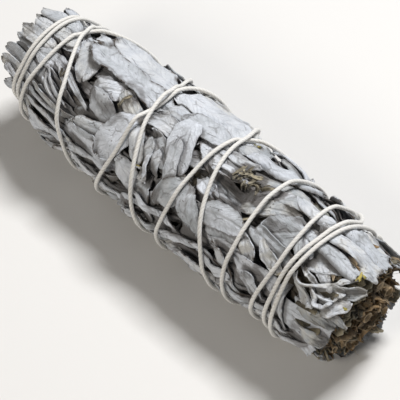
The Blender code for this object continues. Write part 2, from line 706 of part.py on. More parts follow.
def string_path(trees):
    """Points of the string's centre line: on the leaves, and over the turns wound before it."""
    stations, angles = ROUTE_STATIONS, ROUTE_ANGLES
    step = np.hypot(np.diff(stations), np.diff(arc(angles)))
    along = np.concatenate([[0], np.cumsum(step)])
    on_leaves = np.array([
        max(outermost(tree, u, a, STRING_RADIUS) for tree in trees) for u, a in zip(stations, angles)
    ])
    sag = STRING_STEP**2 / 8 / 17.0
    clear = 2 * STRING_RADIUS + 0.16
    crossed = along[[over_earlier(n, along, clear).size > 0 for n in range(len(along))]]
    marks = [0.0]
    while marks[-1] < along[-1]:
        step = STRING_STEP / 2 if abs(crossed - marks[-1]).min() < STRING_STEP * 0.8 else STRING_STEP
        marks.append(min(marks[-1] + step, along[-1]))
    mark_station = np.interp(marks, along, stations)
    mark_angle = np.interp(marks, along, angles)
    radius = np.zeros(len(marks))
    done = np.zeros(len(along))
    for k, mark in enumerate(marks):
        near = (along >= marks[max(k - 1, 0)]) & (along <= marks[min(k + 1, len(marks) - 1)])
        need = on_leaves[near].max() + STRING_GAP + STRING_RADIUS + sag
        for n in np.flatnonzero(near):
            past = over_earlier(n, along, clear)
            if past.size:
                rise = np.sqrt(clear**2 - route_distance(n, past) ** 2)
                need = max(need, (done[past] + rise).max() + sag)
        radius[k] = need
        if k:
            between = (along > marks[k - 1]) & (along <= mark)
            done[between] = np.interp(along[between], marks[k - 1 : k + 1], radius[k - 1 : k + 1])
    return mark_station, mark_angle, radius


def tube(name, points, radius, look):
    """A round cord of one thickness through points in metres, with closed ends."""
    curve = bpy.data.curves.new(name, "CURVE")
    curve.dimensions = "3D"
    curve.bevel_depth = radius
    curve.bevel_resolution = 1
    curve.use_fill_caps = True
    line = curve.splines.new("POLY")
    line.points.add(len(points) - 1)
    for target, point in zip(line.points, points):
        target.co = (*point, 1.0)
    helper = bpy.data.objects.new(name + "_line", curve)
    bpy.context.scene.collection.objects.link(helper)
    graph = bpy.context.evaluated_depsgraph_get()
    mesh = bpy.data.meshes.new_from_object(helper.evaluated_get(graph))
    bm = bmesh.new()
    bm.from_mesh(mesh)
    bmesh.ops.remove_doubles(bm, verts=bm.verts, dist=0.00002)
    bmesh.ops.recalc_face_normals(bm, faces=bm.faces)
    bmesh.ops.triangulate(bm, faces=bm.faces)
    bpy.data.objects.remove(helper)
    made = mesh_object(name, bm)
    made.data.materials.append(look)
    return made


def make_string(trees):
    stations, angles, radii = string_path(trees)
    points = [place(u, arc(a), r) for u, a, r in zip(stations, angles, radii)]
    return tube("string", points, STRING_RADIUS * MM, STRING_LOOK)


def make_knot(trees):
    """The overhand knot that ties the string's two ends together, with its short tails."""
    station, angle = 109.5, -91.5
    base = max(outermost(tree, station, angle, reach) for tree in trees for reach in (1.2, 2.2))
    centre = Vector(place(station, arc(angle), base + STRING_GAP + 1.75))
    out = (centre - Vector(place(station, arc(angle), 0.0))).normalized()
    along = Vector((1, 0, 0))
    round_it = out.cross(along)
    size = 0.8 * MM
    points = []
    for t in np.linspace(0.42, 2 * math.pi - 0.42, 26):
        x, y, z = math.sin(t) + 2 * math.sin(2 * t), math.cos(t) - 2 * math.cos(2 * t), -math.sin(3 * t)
        points.append(centre + size * (x * along + y * round_it + 1.0 * z * out))
    for end, before in ((points[-1], points[-2]), (points[0], points[1])):
        tail = (end - before).normalized() * 2.6 * MM + out * 0.5 * MM
        if end is points[-1]:
            points.append(end + tail)
        else:
            points.insert(0, end + tail)
    return tube("string_knot", points, STRING_RADIUS * MM, STRING_LOOK)


def settle(nodes, floor):
    """Moves the bunch so that the middle of its bounding box's under side is at the origin."""
    every = np.concatenate([world_vertices(node) for node in nodes])
    low, high = every.min(axis=0), every.max(axis=0)
    shift = Vector((-(low[0] + high[0]) / 2, -(low[1] + high[1]) / 2, -floor))
    for node in nodes:
        for vertex in node.data.vertices:
            vertex.co += shift
        node.data.update()
    print("moved by mm", [round(v / MM, 3) for v in shift], "lowest", low[2] / MM, "floor", floor / MM)


clear_scene()
LEAF_LOOK = material("sage_leaf", (0.36, 0.42, 0.34), 0.85)
STRING_LOOK = material("cotton_string", (0.80, 0.77, 0.68), 0.9)
stems, floor_height = make_leafy_stems()
stem_trees = [BVHTree.FromPolygons([v.co for v in s.data.vertices], [p.vertices for p in s.data.polygons]) for s in stems]
string = make_string(stem_trees)
knot = make_knot(stem_trees)
settle([*stems, string, knot], floor_height)
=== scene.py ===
"""A bunch of dried white sage: leafy stems laid side by side, chopped to one length and bound with string.

A place on the bunch is its station in millimetres from the leaf tips, and its angle round the bunch, 0 at the
top and 90 on the side towards the camera. Leaves are laid flat, over station and arc, with their height as a
radius. The binding, near the end, wraps them round the bunch and presses them in under the string.
"""

import math
from collections import namedtuple

import bmesh
import bpy
import numpy as np
from mathutils import Matrix, Vector


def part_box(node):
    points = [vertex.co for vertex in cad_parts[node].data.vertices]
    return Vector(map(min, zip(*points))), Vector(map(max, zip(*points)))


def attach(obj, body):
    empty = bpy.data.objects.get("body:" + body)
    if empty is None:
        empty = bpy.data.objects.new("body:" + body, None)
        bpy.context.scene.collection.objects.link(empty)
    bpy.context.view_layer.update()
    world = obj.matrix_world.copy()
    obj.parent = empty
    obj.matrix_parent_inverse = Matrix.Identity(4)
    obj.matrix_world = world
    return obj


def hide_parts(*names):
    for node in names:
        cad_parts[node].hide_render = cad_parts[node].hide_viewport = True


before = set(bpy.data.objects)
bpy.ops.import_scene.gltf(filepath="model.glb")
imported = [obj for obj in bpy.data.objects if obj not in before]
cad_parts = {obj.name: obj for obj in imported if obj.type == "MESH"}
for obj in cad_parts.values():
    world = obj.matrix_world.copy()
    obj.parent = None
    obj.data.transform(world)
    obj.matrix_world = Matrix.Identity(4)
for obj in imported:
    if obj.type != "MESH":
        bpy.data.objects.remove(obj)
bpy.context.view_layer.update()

# The view, the floor and the light
# A plain pale floor under the bunch, a broad soft lamp above its far side, and a pale room all round.
# The camera stands off the cut end, 47 degrees up, and looks down along the bunch.
AIM = Vector((0.00773, -0.00465, 0.01663))
AZIMUTH, ELEVATION = math.radians(48.45), math.radians(47.0)
DISTANCE = 0.407
away = Vector((
    math.sin(AZIMUTH) * math.cos(ELEVATION),
    -math.cos(AZIMUTH) * math.cos(ELEVATION),
    math.sin(ELEVATION),
))
view = bpy.data.objects.new("view", bpy.data.cameras.new("view"))
view.data.lens = 153.0
view.data.sensor_width = 36.0
view.data.clip_start = 0.01
view.location = AIM + away * DISTANCE
view.rotation_euler = (-away).to_track_quat("-Z", "Y").to_euler()
bpy.context.scene.collection.objects.link(view)
bpy.context.scene.camera = view


def new_material(name):
    """A material with its node tree and its Principled shader."""
    made = bpy.data.materials.new(name)
    made.use_nodes = True
    return made, made.node_tree, made.node_tree.nodes["Principled BSDF"]


FLOOR_HALF = 1.5
floor_mesh = bpy.data.meshes.new("floor")
floor_corners = [(x * FLOOR_HALF, y * FLOOR_HALF, 0) for x, y in ((-1, -1), (1, -1), (1, 1), (-1, 1))]
floor_mesh.from_pydata(floor_corners, [], [(0, 1, 2, 3)])
floor = bpy.data.objects.new("floor", floor_mesh)
bpy.context.scene.collection.objects.link(floor)
floor_paint, _, floor_shader = new_material("pale_floor")
floor_shader.inputs["Base Color"].default_value = (0.70, 0.69, 0.67, 1)
floor_shader.inputs["Roughness"].default_value = 0.8
floor_mesh.materials.append(floor_paint)


def lamp(name, place, size, power, colour):
    """A square soft light that shines at the bunch."""
    data = bpy.data.lights.new(name, "AREA")
    data.size = size
    data.energy = power
    data.color = colour
    made = bpy.data.objects.new(name, data)
    made.location = place
    made.rotation_euler = (AIM - Vector(place)).to_track_quat("-Z", "Y").to_euler()
    bpy.context.scene.collection.objects.link(made)


lamp("key_lamp", (0.0, 0.36, 0.70), 0.22, 7.2, (0.99, 0.99, 1.0))
lamp("front_lamp", (0.10, -0.60, 0.45), 0.22, 2.2, (1.0, 0.94, 0.86))
room = bpy.data.worlds.new("room")
room.use_nodes = True
room.node_tree.nodes["Background"].inputs["Color"].default_value = (0.86, 0.88, 0.92, 1)
room.node_tree.nodes["Background"].inputs["Strength"].default_value = 0.11
bpy.context.scene.world = room
bpy.context.scene.view_settings.view_transform = "Standard"

# The imported inner leaves
# Under the leaves that show, each stem's small leaves are crushed together between the outer ones, coloured
# dull and dark as painted shade for the gaps. They are scattered over the bunch in crumpled layers, and
# everything else is laid on them.
LENGTH = 125.0
ARC_RADIUS = 17.0
GIRTH = 2 * math.pi * ARC_RADIUS
OUTLINE_STATIONS = (0, 5, 14, 25, 45, 65, 85, 105, 118, 125)
OUTLINE_RADII = (11.0, 12.6, 14.6, 16.9, 17.1, 17.7, 16.8, 16.2, 15.4, 14.0)
STEMS = 8
CELL = 0.4
MARGIN = 12.0
LEAF_THICK = 0.28
STIFFNESS = 24.0
CHOPPED = 117.0
TIP_END = 12.0
STALK_RUN = 6.0
ROOT_RUN, ROOT_DEPTH = 3.0, 0.4
SUPPORT_REACH = 0.4

LEAF_PARTS = "station angle tip_station tip_angle width bow arch form"
Leaf = namedtuple("Leaf", LEAF_PARTS, defaults=(0.0, 0.0, "flat"))


def stack(*parts):
    """Arrays side by side along a new last axis."""
    return np.stack(parts, axis=-1)


def arc(angle):
    """Arc length round the bunch, at its nominal radius, of an angle in degrees."""
    return np.radians(angle) * ARC_RADIUS


def outline_radius(station):
    """Radius of the finished bunch at a station."""
    return np.interp(station, OUTLINE_STATIONS, OUTLINE_RADII)


def core_radius(station, angle):
    """Radius of the innermost packed leaves that can be seen."""
    under = np.clip((-np.cos(np.radians(angle)) - 0.5) / 0.4, 0, 1)
    shown = np.clip((np.cos(np.radians(angle - 38)) + 0.1) / 0.3, 0, 1)
    return outline_radius(station) - 3.2 - 1.7 * shown - 2.7 * under


def seam_angle(seam, station):
    """Angle of the seam between two outer leafy stems, which twist a little along the bunch."""
    twist = 9.0 * np.sin(station / 24.0) + 4.0 * np.sin(station / 11.0 + 2.1 * (seam % STEMS))
    return 360.0 / STEMS * seam + twist


def stem_at(station, angle):
    """Number of the outer leafy stem that lies at a station and angle."""
    found = np.zeros(np.broadcast(station, angle).shape, int)
    for seam in range(STEMS):
        past = (angle - seam_angle(seam, station)) % 360.0
        width = (seam_angle(seam + 1, station) - seam_angle(seam, station)) % 360.0
        found = np.where(past < width, seam, found)
    return found


class Bed:
    """The outer surface as leaf after leaf is laid on it: its radius, and which leafy stem is outermost."""

    def __init__(self):
        self.stations = np.arange(-MARGIN, LENGTH + MARGIN, CELL)
        self.columns = round(GIRTH / CELL)
        self.angles = np.arange(self.columns) * 360.0 / self.columns
        self.radius = core_radius(self.stations[:, None], self.angles[None, :])
        self.owner = stem_at(self.stations[:, None], self.angles[None, :])

    def cell(self, station, around):
        row = np.clip(np.rint((station + MARGIN) / CELL).astype(int), 0, len(self.stations) - 1)
        return row, np.rint(around / GIRTH * self.columns).astype(int) % self.columns

    def highest(self, station, around, reach):
        """Largest radius within reach of each point."""
        row, column = self.cell(station, around)
        steps = range(-round(reach / CELL), round(reach / CELL) + 1)
        return np.max([
            self.radius[np.clip(row + i, 0, len(self.stations) - 1), (column + j) % self.columns]
            for i in steps
            for j in steps
        ], axis=0)

    def cover(self, station, around, radius, owner):
        """Raises the surface to a new leaf's upper face."""
        row, column = self.cell(station.ravel(), around.ravel())
        top = np.zeros(self.radius.size)
        np.maximum.at(top, row * self.columns + column, radius.ravel())
        top = top.reshape(self.radius.shape)
        covered = top > self.radius
        self.radius[covered] = top[covered]
        self.owner[covered] = owner


def waves(rng, x, y, size, count=6):
    """Random smooth waves over a surface, about size millimetres long and one high."""
    total = np.zeros(np.broadcast(x, y).shape)
    for _ in range(count):
        turn, phase = rng.uniform(0, 2 * math.pi, 2)
        pitch = 2 * math.pi / (size * rng.uniform(0.7, 1.5))
        total += np.sin(pitch * (x * math.cos(turn) + y * math.sin(turn)) + phase)
    return total / math.sqrt(count)


def leaf_grid(leaf, rng, step):
    """Flat station and arc of a leaf's points, with shares along and across it and its half width."""
    length = math.hypot(leaf.tip_station - leaf.station, arc(leaf.tip_angle - leaf.angle))
    rows = max(8, round(length / step))
    columns = max(4, 2 * round(leaf.width / step / 2))
    along, across = np.meshgrid(np.linspace(0, 1, rows + 1), np.linspace(-1, 1, columns + 1), indexing="ij")
    run = along * length
    stalk = np.clip(0.35 + run / STALK_RUN, 0, 1) ** 0.8
    near_tip = np.clip((run - length + 0.75 * leaf.width) / (0.75 * leaf.width), 0, 1)
    blunt = rng.choice((1.2, 1.6, 2.2, 4.0)) if leaf.tip_station > TIP_END else 2.6
    tip = 1 - 0.12 * near_tip if leaf.tip_station > CHOPPED else (1 - 0.96 * near_tip**blunt) ** 0.5
    edge = 3 * np.sign(across)
    ragged = 1 + 0.05 * waves(rng, run, edge, 7.0) + 0.025 * waves(rng, run, edge, 1.7)
    half = leaf.width / 2 * stalk * tip * ragged
    most_torn = 0.9 if TIP_END < leaf.tip_station < CHOPPED else 0.4
    torn = rng.uniform(0.2, most_torn) * waves(rng, 0 * along, across * leaf.width, 1.8) * along**6 / length
    start = np.array([leaf.station, arc(leaf.angle)])
    heading = np.array([leaf.tip_station, arc(leaf.tip_angle)]) - start
    side = np.array([-heading[1], heading[0]]) / length
    reach = along * (1 + torn)
    off = leaf.bow * 4 * along * (1 - along) + across * half
    off = off + 0.3 * waves(rng, run, 0 * along, 14.0) * along
    station = start[0] + heading[0] * reach + side[0] * off
    around = start[1] + heading[1] * reach + side[1] * off
    return station, around, along, across, half, length


def crease(distance, width):
    """A narrow dent or ridge, one high, at a distance from its line."""
    return np.exp(-((distance / width) ** 2))


def folds(rng, x, y, size):
    """Random sharp folds: flat facets between narrow valleys, about size millimetres apart and one high."""
    return np.abs(waves(rng, x, y, size * 2))


def leaf_relief(leaf, rng, along, across, half, length):
    """Height of a leaf's own form over the bed: its tilt, arch, fold, curled edges, midrib and wrinkles."""
    x, y = along * length, across * half
    soft = np.clip(x / 4, 0, 1)
    full = (1 - across**4) ** 0.5 if leaf.form == "rolled" else 1 - across**2
    relief = leaf.arch * full + rng.uniform(-0.2, 0.2) * y
    for side in (-1, 1):
        curl = rng.choice((-0.3, 0.0, 0.3, 0.8)) * (1 + 0.5 * waves(rng, x, 0 * x, 11.0))
        relief += curl * np.clip(side * across - 0.6, 0, 1) ** 2 * 5
    if leaf.form == "flat":
        fold = rng.uniform(-0.45, 0.45) + 0.35 * rng.normal() * (along - 0.5)
        bend = rng.choice((-0.35, 0.0, 0.0, 0.35)) * min(1.0, leaf.width / 6)
        relief += bend * (1 - np.abs(across - fold))
        relief -= 0.16 * crease(y - 0.08 * half, 0.25)
        relief += 0.07 * folds(rng, x, y * 1.4, 6.0) + 0.11 * folds(rng, x, y * 1.3, 1.5)
        relief -= 0.11 * crease(waves(rng, x * 0.9, y * 1.3, 4.0), 0.09)
    if leaf.form == "crumpled":
        relief += 0.5 * folds(rng, x * 0.5, y * 1.2, 3.0) + 0.25 * folds(rng, x, y, 1.7)
    if leaf.form == "rolled":
        relief += 0.10 * folds(rng, x * 0.3, y * 2.0, 3.0)
        relief -= 0.1 * crease(waves(rng, x * 0.5, y * 2, 3.0), 0.15)
    relief += rng.uniform(-0.4, 1.2) * np.clip(along - 0.75, 0, 1) ** 2 * 14
    return relief * soft


def linear_weights(coarse, fine):
    """Matrix that reads values at fine shares from values at coarse ones."""
    return np.stack([np.interp(fine, coarse, row) for row in np.eye(len(coarse))], axis=1)


def lay_leaf(leaf, rng, spacing, step, tone=None):
    """Lays one leaf on the bed, bridging its hollows, and gives its points, tint and stem."""
    station, around, along, across, half, length = leaf_grid(leaf, rng, step)
    support = bed.highest(station, around, SUPPORT_REACH)
    radius = support.copy()
    for _ in range(round(STIFFNESS / step**2)):
        padded = np.pad(radius, 1, mode="edge")
        mean = (padded[:-2, 1:-1] + padded[2:, 1:-1] + padded[1:-1, :-2] + padded[1:-1, 2:]) / 4
        radius = np.maximum(support, mean)
    radius = radius + spacing + leaf_relief(leaf, rng, along, across, half, length)
    radius = np.maximum(radius, support + LEAF_THICK)
    root = np.clip(1 - along * length / ROOT_RUN, 0, 1)
    radius = radius * (1 - root) + (support - ROOT_DEPTH) * root
    first_rows = max(2, len(station) // 8)
    row, column = bed.cell(station[:first_rows], around[:first_rows])
    owner = int(np.bincount(bed.owner[row, column].ravel()).argmax())
    finer = [linear_weights(np.linspace(0, 1, n), np.linspace(0, 1, 3 * n)) for n in station.shape]
    bed.cover(*(finer[0] @ field @ finer[1].T for field in (station, around, radius)), owner)
    tone = rng.normal(0.55, 0.22) if tone is None else tone
    tone = np.clip(tone + 0.10 * waves(rng, along * length, across * half, 9.0), 0, 1)
    edge = np.clip(np.maximum(np.abs(across) - 0.8, (along - 0.93) * 3) * 5, 0, 1)
    faded = max(0.0, rng.normal(0.1, 0.2)) + 0.5 * np.clip((8 - station) / 6, 0, 1)
    tint = stack(tone, np.clip(faded, 0, 1), edge * rng.uniform(0.2, 1.2))
    return stack(station, around, radius), tint, stack(along * length, across * half, across), owner


def add_attribute(mesh, name, kind, key, values):
    """Adds an attribute with one value for each vertex."""
    mesh.attributes.new(name, kind, "POINT").data.foreach_set(key, np.asarray(values, np.float32).ravel())


def add_piece(name, mesh, look):
    """A smoothly shaded object of a mesh, with its material."""
    mesh.shade_smooth()
    mesh.materials.append(look)
    made = bpy.data.objects.new(name, mesh)
    bpy.context.scene.collection.objects.link(made)
    return made


def leaf_mesh(name, laid, look, thickness=LEAF_THICK):
    """One object of many laid leaves, each a grid given its thickness, still flat over station and arc."""
    points, faces, tints, places = [], [], [], []
    first = 0
    for grid, tint, on_leaf in laid:
        rows, columns = grid.shape[:2]
        number = first + np.arange(rows * columns).reshape(rows, columns)
        quads = stack(number[:-1, :-1], number[:-1, 1:], number[1:, 1:], number[1:, :-1]).reshape(-1, 4)
        flat = grid.reshape(-1, 3)
        corner = quads[len(quads) // 2] - first
        a, b, c = flat[corner[0]], flat[corner[1]], flat[corner[2]]
        if np.cross((b - a)[:2], (c - b)[:2]) > 0:
            quads = quads[:, ::-1]
        faces.append(quads)
        points.append(flat)
        tints.append(tint.reshape(-1, 3))
        places.append(on_leaf.reshape(-1, 3))
        first += rows * columns
    mesh = bpy.data.meshes.new(name)
    mesh.from_pydata(np.concatenate(points).tolist(), [], np.concatenate(faces).tolist())
    opaque = np.pad(np.concatenate(tints), ((0, 0), (0, 1)), constant_values=1)
    add_attribute(mesh, "leaf_tint", "FLOAT_COLOR", "color", opaque)
    add_attribute(mesh, "on_leaf", "FLOAT_VECTOR", "vector", np.concatenate(places))
    made = add_piece(name, mesh, look)
    shell = made.modifiers.new("leaf thickness", "SOLIDIFY")
    shell.thickness = thickness * 0.001
    shell.offset = -1
    rim = made.modifiers.new("crisp edges", "EDGE_SPLIT")
    rim.split_angle = math.radians(48)
    return made


bed = Bed()
to_bind = []


def add_node(tree, kind, inputs=(), **settings):
    """A shader node with its settings, each input set to a value or fed by another node's output."""
    made = tree.nodes.new(kind)
    for key, value in settings.items():
        setattr(made, key, value)
    for key, value in dict(inputs).items():
        if isinstance(value, bpy.types.NodeSocket):
            tree.links.new(value, made.inputs[key])
        else:
            made.inputs[key].default_value = value
    return made


def maths(tree, operation, *values):
    """The result of a Math node on up to three values or outputs."""
    return add_node(tree, "ShaderNodeMath", enumerate(values), operation=operation).outputs[0]


def between(tree, value, low, high, to_low=0.0, to_high=1.0):
    """A value moved smoothly from one range to another."""
    inputs = {"Value": value, "From Min": low, "From Max": high, "To Min": to_low, "To Max": to_high}
    return add_node(tree, "ShaderNodeMapRange", inputs, interpolation_type="SMOOTHSTEP").outputs["Result"]


def blend(tree, factor, first, second, kind="MIX"):
    """The colour part of the way from one colour to another."""
    mixed = add_node(tree, "ShaderNodeMix", data_type="RGBA", blend_type=kind)
    for socket, value in zip((mixed.inputs[0], mixed.inputs[6], mixed.inputs[7]), (factor, first, second)):
        if isinstance(value, bpy.types.NodeSocket):
            tree.links.new(value, socket)
        else:
            socket.default_value = value if isinstance(value, float) else (*value, 1.0)
    return mixed.outputs[2]


def noise(tree, where, scale, detail, roughness=0.5):
    """The value of a noise texture, from 0 to 1."""
    inputs = {"Vector": where, "Scale": scale, "Detail": detail, "Roughness": roughness}
    return add_node(tree, "ShaderNodeTexNoise", inputs).outputs["Fac"]


def to_edge(tree, where, scale):
    """Distance to the nearest edge of a net of cells."""
    inputs = {"Vector": where, "Scale": scale}
    net = add_node(tree, "ShaderNodeTexVoronoi", inputs, feature="DISTANCE_TO_EDGE")
    return net.outputs["Distance"]


def node_group(name, inputs, outputs):
    """An empty shader node group with named sockets, and its input and output nodes."""
    made = bpy.data.node_groups.new(name, "ShaderNodeTree")
    for label in inputs:
        made.interface.new_socket(label, in_out="INPUT", socket_type="NodeSocketVector")
    for label in outputs:
        made.interface.new_socket(label, in_out="OUTPUT", socket_type="NodeSocketFloat")
    return made, made.nodes.new("NodeGroupInput").outputs, made.nodes.new("NodeGroupOutput").inputs


def velvet_group():
    """The dusty bloom of dried leaves: soft blotches, small dark specks and a fine felt of hairs."""
    tree, given, put = node_group("dusty_bloom", [], ["Blotches", "Specks", "Felt"])
    where = add_node(tree, "ShaderNodeTexCoord").outputs["Object"]
    dots = add_node(tree, "ShaderNodeTexVoronoi", {"Vector": where, "Scale": 900.0}).outputs["Distance"]
    size = between(tree, noise(tree, where, 190.0, 2.0), 0.5, 0.7, 0.0, 0.24)
    tree.links.new(noise(tree, where, 330.0, 5.0, 0.62), put["Blotches"])
    tree.links.new(maths(tree, "LESS_THAN", dots, size), put["Specks"])
    tree.links.new(noise(tree, where, 2600.0, 3.0, 0.7), put["Felt"])
    return tree


def vein_group():
    """A leaf's midrib, the side veins that slant off it, and the fine net between them."""
    tree, given, put = node_group("leaf_veins", ["On Leaf"], ["Veins", "Cracks"])
    on_leaf = given["On Leaf"]
    place_on = add_node(tree, "ShaderNodeSeparateXYZ", {"Vector": on_leaf}).outputs
    aside = maths(tree, "ABSOLUTE", place_on["Y"])
    slant = maths(tree, "MULTIPLY_ADD", aside, -1.15, place_on["X"])
    wander = maths(tree, "MULTIPLY", noise(tree, on_leaf, 0.35, 2.0), 1.8)
    phase = maths(tree, "ADD", maths(tree, "MULTIPLY", slant, 0.55), wander)
    off_middle = maths(tree, "ABSOLUTE", maths(tree, "SUBTRACT", maths(tree, "FRACT", phase), 0.5))
    side = between(tree, off_middle, 0.40, 0.5)
    midrib = between(tree, aside, 0.5, 0.08)
    mesh = between(tree, to_edge(tree, on_leaf, 1.5), 0.09, 0.0)
    lines = maths(tree, "MAXIMUM", midrib, maths(tree, "MULTIPLY", side, 0.6))
    tree.links.new(maths(tree, "MAXIMUM", lines, maths(tree, "MULTIPLY", mesh, 0.3)), put["Veins"])
    stretched = add_node(tree, "ShaderNodeMapping", {"Vector": on_leaf, "Scale": (0.13, 0.4, 0.0)})
    crack = between(tree, to_edge(tree, stretched.outputs[0], 1.0), 0.045, 0.012)
    cracked = between(tree, noise(tree, on_leaf, 0.22, 1.0), 0.54, 0.6)
    tree.links.new(maths(tree, "MULTIPLY", crack, cracked), put["Cracks"])
    return tree


DUSTY_BLOOM = velvet_group()
LEAF_VEINS = vein_group()


def leaf_look(name, dull, bright, faded, edge, vein_depth, roughness, sheen):
    """A dried leaf's finish between a dull and a bright colour, faded in places and brown along its edges,
    with painted shade in the gaps beside and under other leaves.
    """
    made, tree, shader = new_material(name)
    tint = add_node(tree, "ShaderNodeAttribute", attribute_name="leaf_tint").outputs["Color"]
    parts = add_node(tree, "ShaderNodeSeparateColor", {"Color": tint}).outputs
    on_leaf = add_node(tree, "ShaderNodeAttribute", attribute_name="on_leaf").outputs["Vector"]
    bloom = add_node(tree, "ShaderNodeGroup", node_tree=DUSTY_BLOOM).outputs
    veins = add_node(tree, "ShaderNodeGroup", node_tree=LEAF_VEINS)
    tree.links.new(on_leaf, veins.inputs["On Leaf"])
    tone = maths(tree, "ADD", parts["Red"], between(tree, bloom["Blotches"], 0.3, 0.7, -0.3, 0.3))
    colour = blend(tree, tone, dull, bright)
    patches = maths(tree, "MULTIPLY", parts["Green"], between(tree, bloom["Blotches"], 0.38, 0.62))
    colour = blend(tree, patches, colour, faded)
    worn = between(tree, bloom["Blotches"], 0.42, 0.6)
    buried = add_node(tree, "ShaderNodeAttribute", attribute_name="buried").outputs["Fac"]
    # Veins, brown edges, cracks and specks are the leaf's own marks; the last mark is painted shade,
    # darkening the leaf where it lies low between others.
    for mark, share in (
        (veins.outputs["Veins"], 0.13), (parts["Blue"], worn), (veins.outputs["Cracks"], 0.3),
        (bloom["Specks"], 0.6), (buried, 0.95),
    ):
        colour = blend(tree, maths(tree, "MULTIPLY", mark, share), colour, edge)
    tree.links.new(colour, shader.inputs["Base Color"])
    rough = between(tree, bloom["Felt"], 0.3, 0.7, roughness - 0.1, roughness + 0.1)
    tree.links.new(rough, shader.inputs["Roughness"])
    lines = maths(tree, "ADD", veins.outputs["Veins"], veins.outputs["Cracks"])
    height = maths(tree, "MULTIPLY_ADD", lines, -vein_depth, maths(tree, "MULTIPLY", bloom["Felt"], 0.35))
    height = maths(tree, "MULTIPLY_ADD", bloom["Blotches"], 0.8, height)
    bump = add_node(tree, "ShaderNodeBump", {"Height": height, "Strength": 1.0, "Distance": 0.0004})
    tree.links.new(bump.outputs["Normal"], shader.inputs["Normal"])
    shader.inputs["Sheen Weight"].default_value = sheen
    shader.inputs["Sheen Roughness"].default_value = 0.5
    shader.inputs["Specular IOR Level"].default_value = 0.25
    return made


# A darker copy of the leaf finish for the inner leaves: painted shade for the gaps between the outer leaves.
packed_shaded_look = leaf_look(
    "packed_leaf_painted_shade", (0.10, 0.10, 0.085), (0.36, 0.37, 0.33), (0.24, 0.19, 0.11), (0.05, 0.035, 0.02),
    vein_depth=0.3, roughness=0.85, sheen=0.1,
)


def cut_end_station(radius):
    """Station of the cut face, which is a little domed."""
    return LENGTH - 1.6 - 3.4 * (np.asarray(radius) / 13.0) ** 2


def wedge_core(stem, rng):
    """Rings of points round the crushed inside of one outer stem, from its tip end to the cut face."""
    rings = []
    for station in np.concatenate([np.arange(TIP_END, LENGTH - 4.0, 1.6), [LENGTH]]):
        start, end = (seam_angle(stem + side, station) for side in (0, 1))
        outer = np.linspace(start + 0.9, end - 0.9, 14)
        top = core_radius(min(station, 118), outer) - 0.9
        top = top * np.interp(station, (12, 20), (0.6, 1.0)) + 0.3 * waves(rng, outer / 3, station, 2.0, 3)
        inner = np.linspace(end - 2.2, start + 2.2, 5)
        angles = np.concatenate([outer, inner])
        radii = np.concatenate([top, np.full(5, 4.6)])
        at = np.where(station == LENGTH, cut_end_station(radii) - 1.2, station)
        rings.append(stack(at, arc(angles), radii))
    return rings


def ring_mesh(name, rings, look):
    """A closed piece through rings of points, still flat over station and arc."""
    bm = bmesh.new()
    rows = [[bm.verts.new(point) for point in ring] for ring in rings]
    for near, far in zip(rows, rows[1:]):
        for i in range(len(near)):
            k = (i + 1) % len(near)
            bm.faces.new((near[i], near[k], far[k], far[i]))
    bm.faces.new(rows[0][::-1])
    bm.faces.new(rows[-1])
    bmesh.ops.triangulate(bm, faces=[face for face in bm.faces if len(face.verts) > 4])
    mesh = bpy.data.meshes.new(name)
    bm.to_mesh(mesh)
    bm.free()
    add_attribute(mesh, "leaf_tint", "FLOAT_COLOR", "color", [0.35, 0.3, 0.0, 1.0] * len(mesh.vertices))
    return add_piece(name, mesh, look)


LOOSE_FROM, LOOSE_ANGLES = 107.0, (12, 75)


def packed_leaves(seed, spread, tones, widths, spacing, step, loose=False):
    """One layer of small crushed leaves over the whole bunch, by the stem that each belongs to.

    A loose layer leaves out the side of the cut end that shows, where single curled leaf ends lie.
    """
    rng = np.random.default_rng(seed)
    found = {stem: [] for stem in range(STEMS)}
    for station in np.arange(10.0, 126.0, spread[0]):
        for angle in np.arange(0.0, 360.0, spread[1]):
            root = min(station + rng.uniform(-3, 3) + 3, 121.0)
            tip = max(root - rng.uniform(9, 17), rng.uniform(4, 9))
            at = angle + rng.uniform(-0.5, 0.5) * spread[1]
            form = rng.choice(("crumpled", "crumpled", "flat"))
            if loose and root > LOOSE_FROM and LOOSE_ANGLES[0] < at < LOOSE_ANGLES[1]:
                continue
            turned, width, bow = at + rng.normal(0, 20), rng.uniform(*widths), rng.uniform(-1, 1)
            leaf = Leaf(root, at, tip, turned, width, bow, 0.2, form)
            *laid, owner = lay_leaf(leaf, rng, spacing, step, rng.uniform(*tones))
            found[owner].append(laid)
    return found


rng = np.random.default_rng(3)
for stem, laid in packed_leaves(11, (8.0, 24.0), (0.0, 0.7), (4.5, 7.5), 0.12, 1.0).items():
    body = f"leafy_stem_{stem + 1}"
    core = ring_mesh(f"packed_core_{stem + 1}", wedge_core(stem, rng), packed_shaded_look)
    crushed = leaf_mesh(f"packed_leaves_{stem + 1}", laid, packed_shaded_look)
    for piece in (core, crushed):
        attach(piece, "root")
        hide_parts(body)
        to_bind.append(piece)
rings = []
for station in np.concatenate([np.arange(16.0, 122.0, 4.0), [LENGTH - 2.6]]):
    angles = np.arange(16) * 22.5
    wide = np.interp(station, (16, 20, 26), (1.2, 3.4, 4.2)) + 0.2 * waves(rng, angles / 10, station, 3.0, 3)
    rings.append(stack(np.full(16, station), arc(angles), wide))
middle = ring_mesh("packed_middle", rings, packed_shaded_look)
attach(middle, "root")
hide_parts("middle_stem")
to_bind.append(middle)

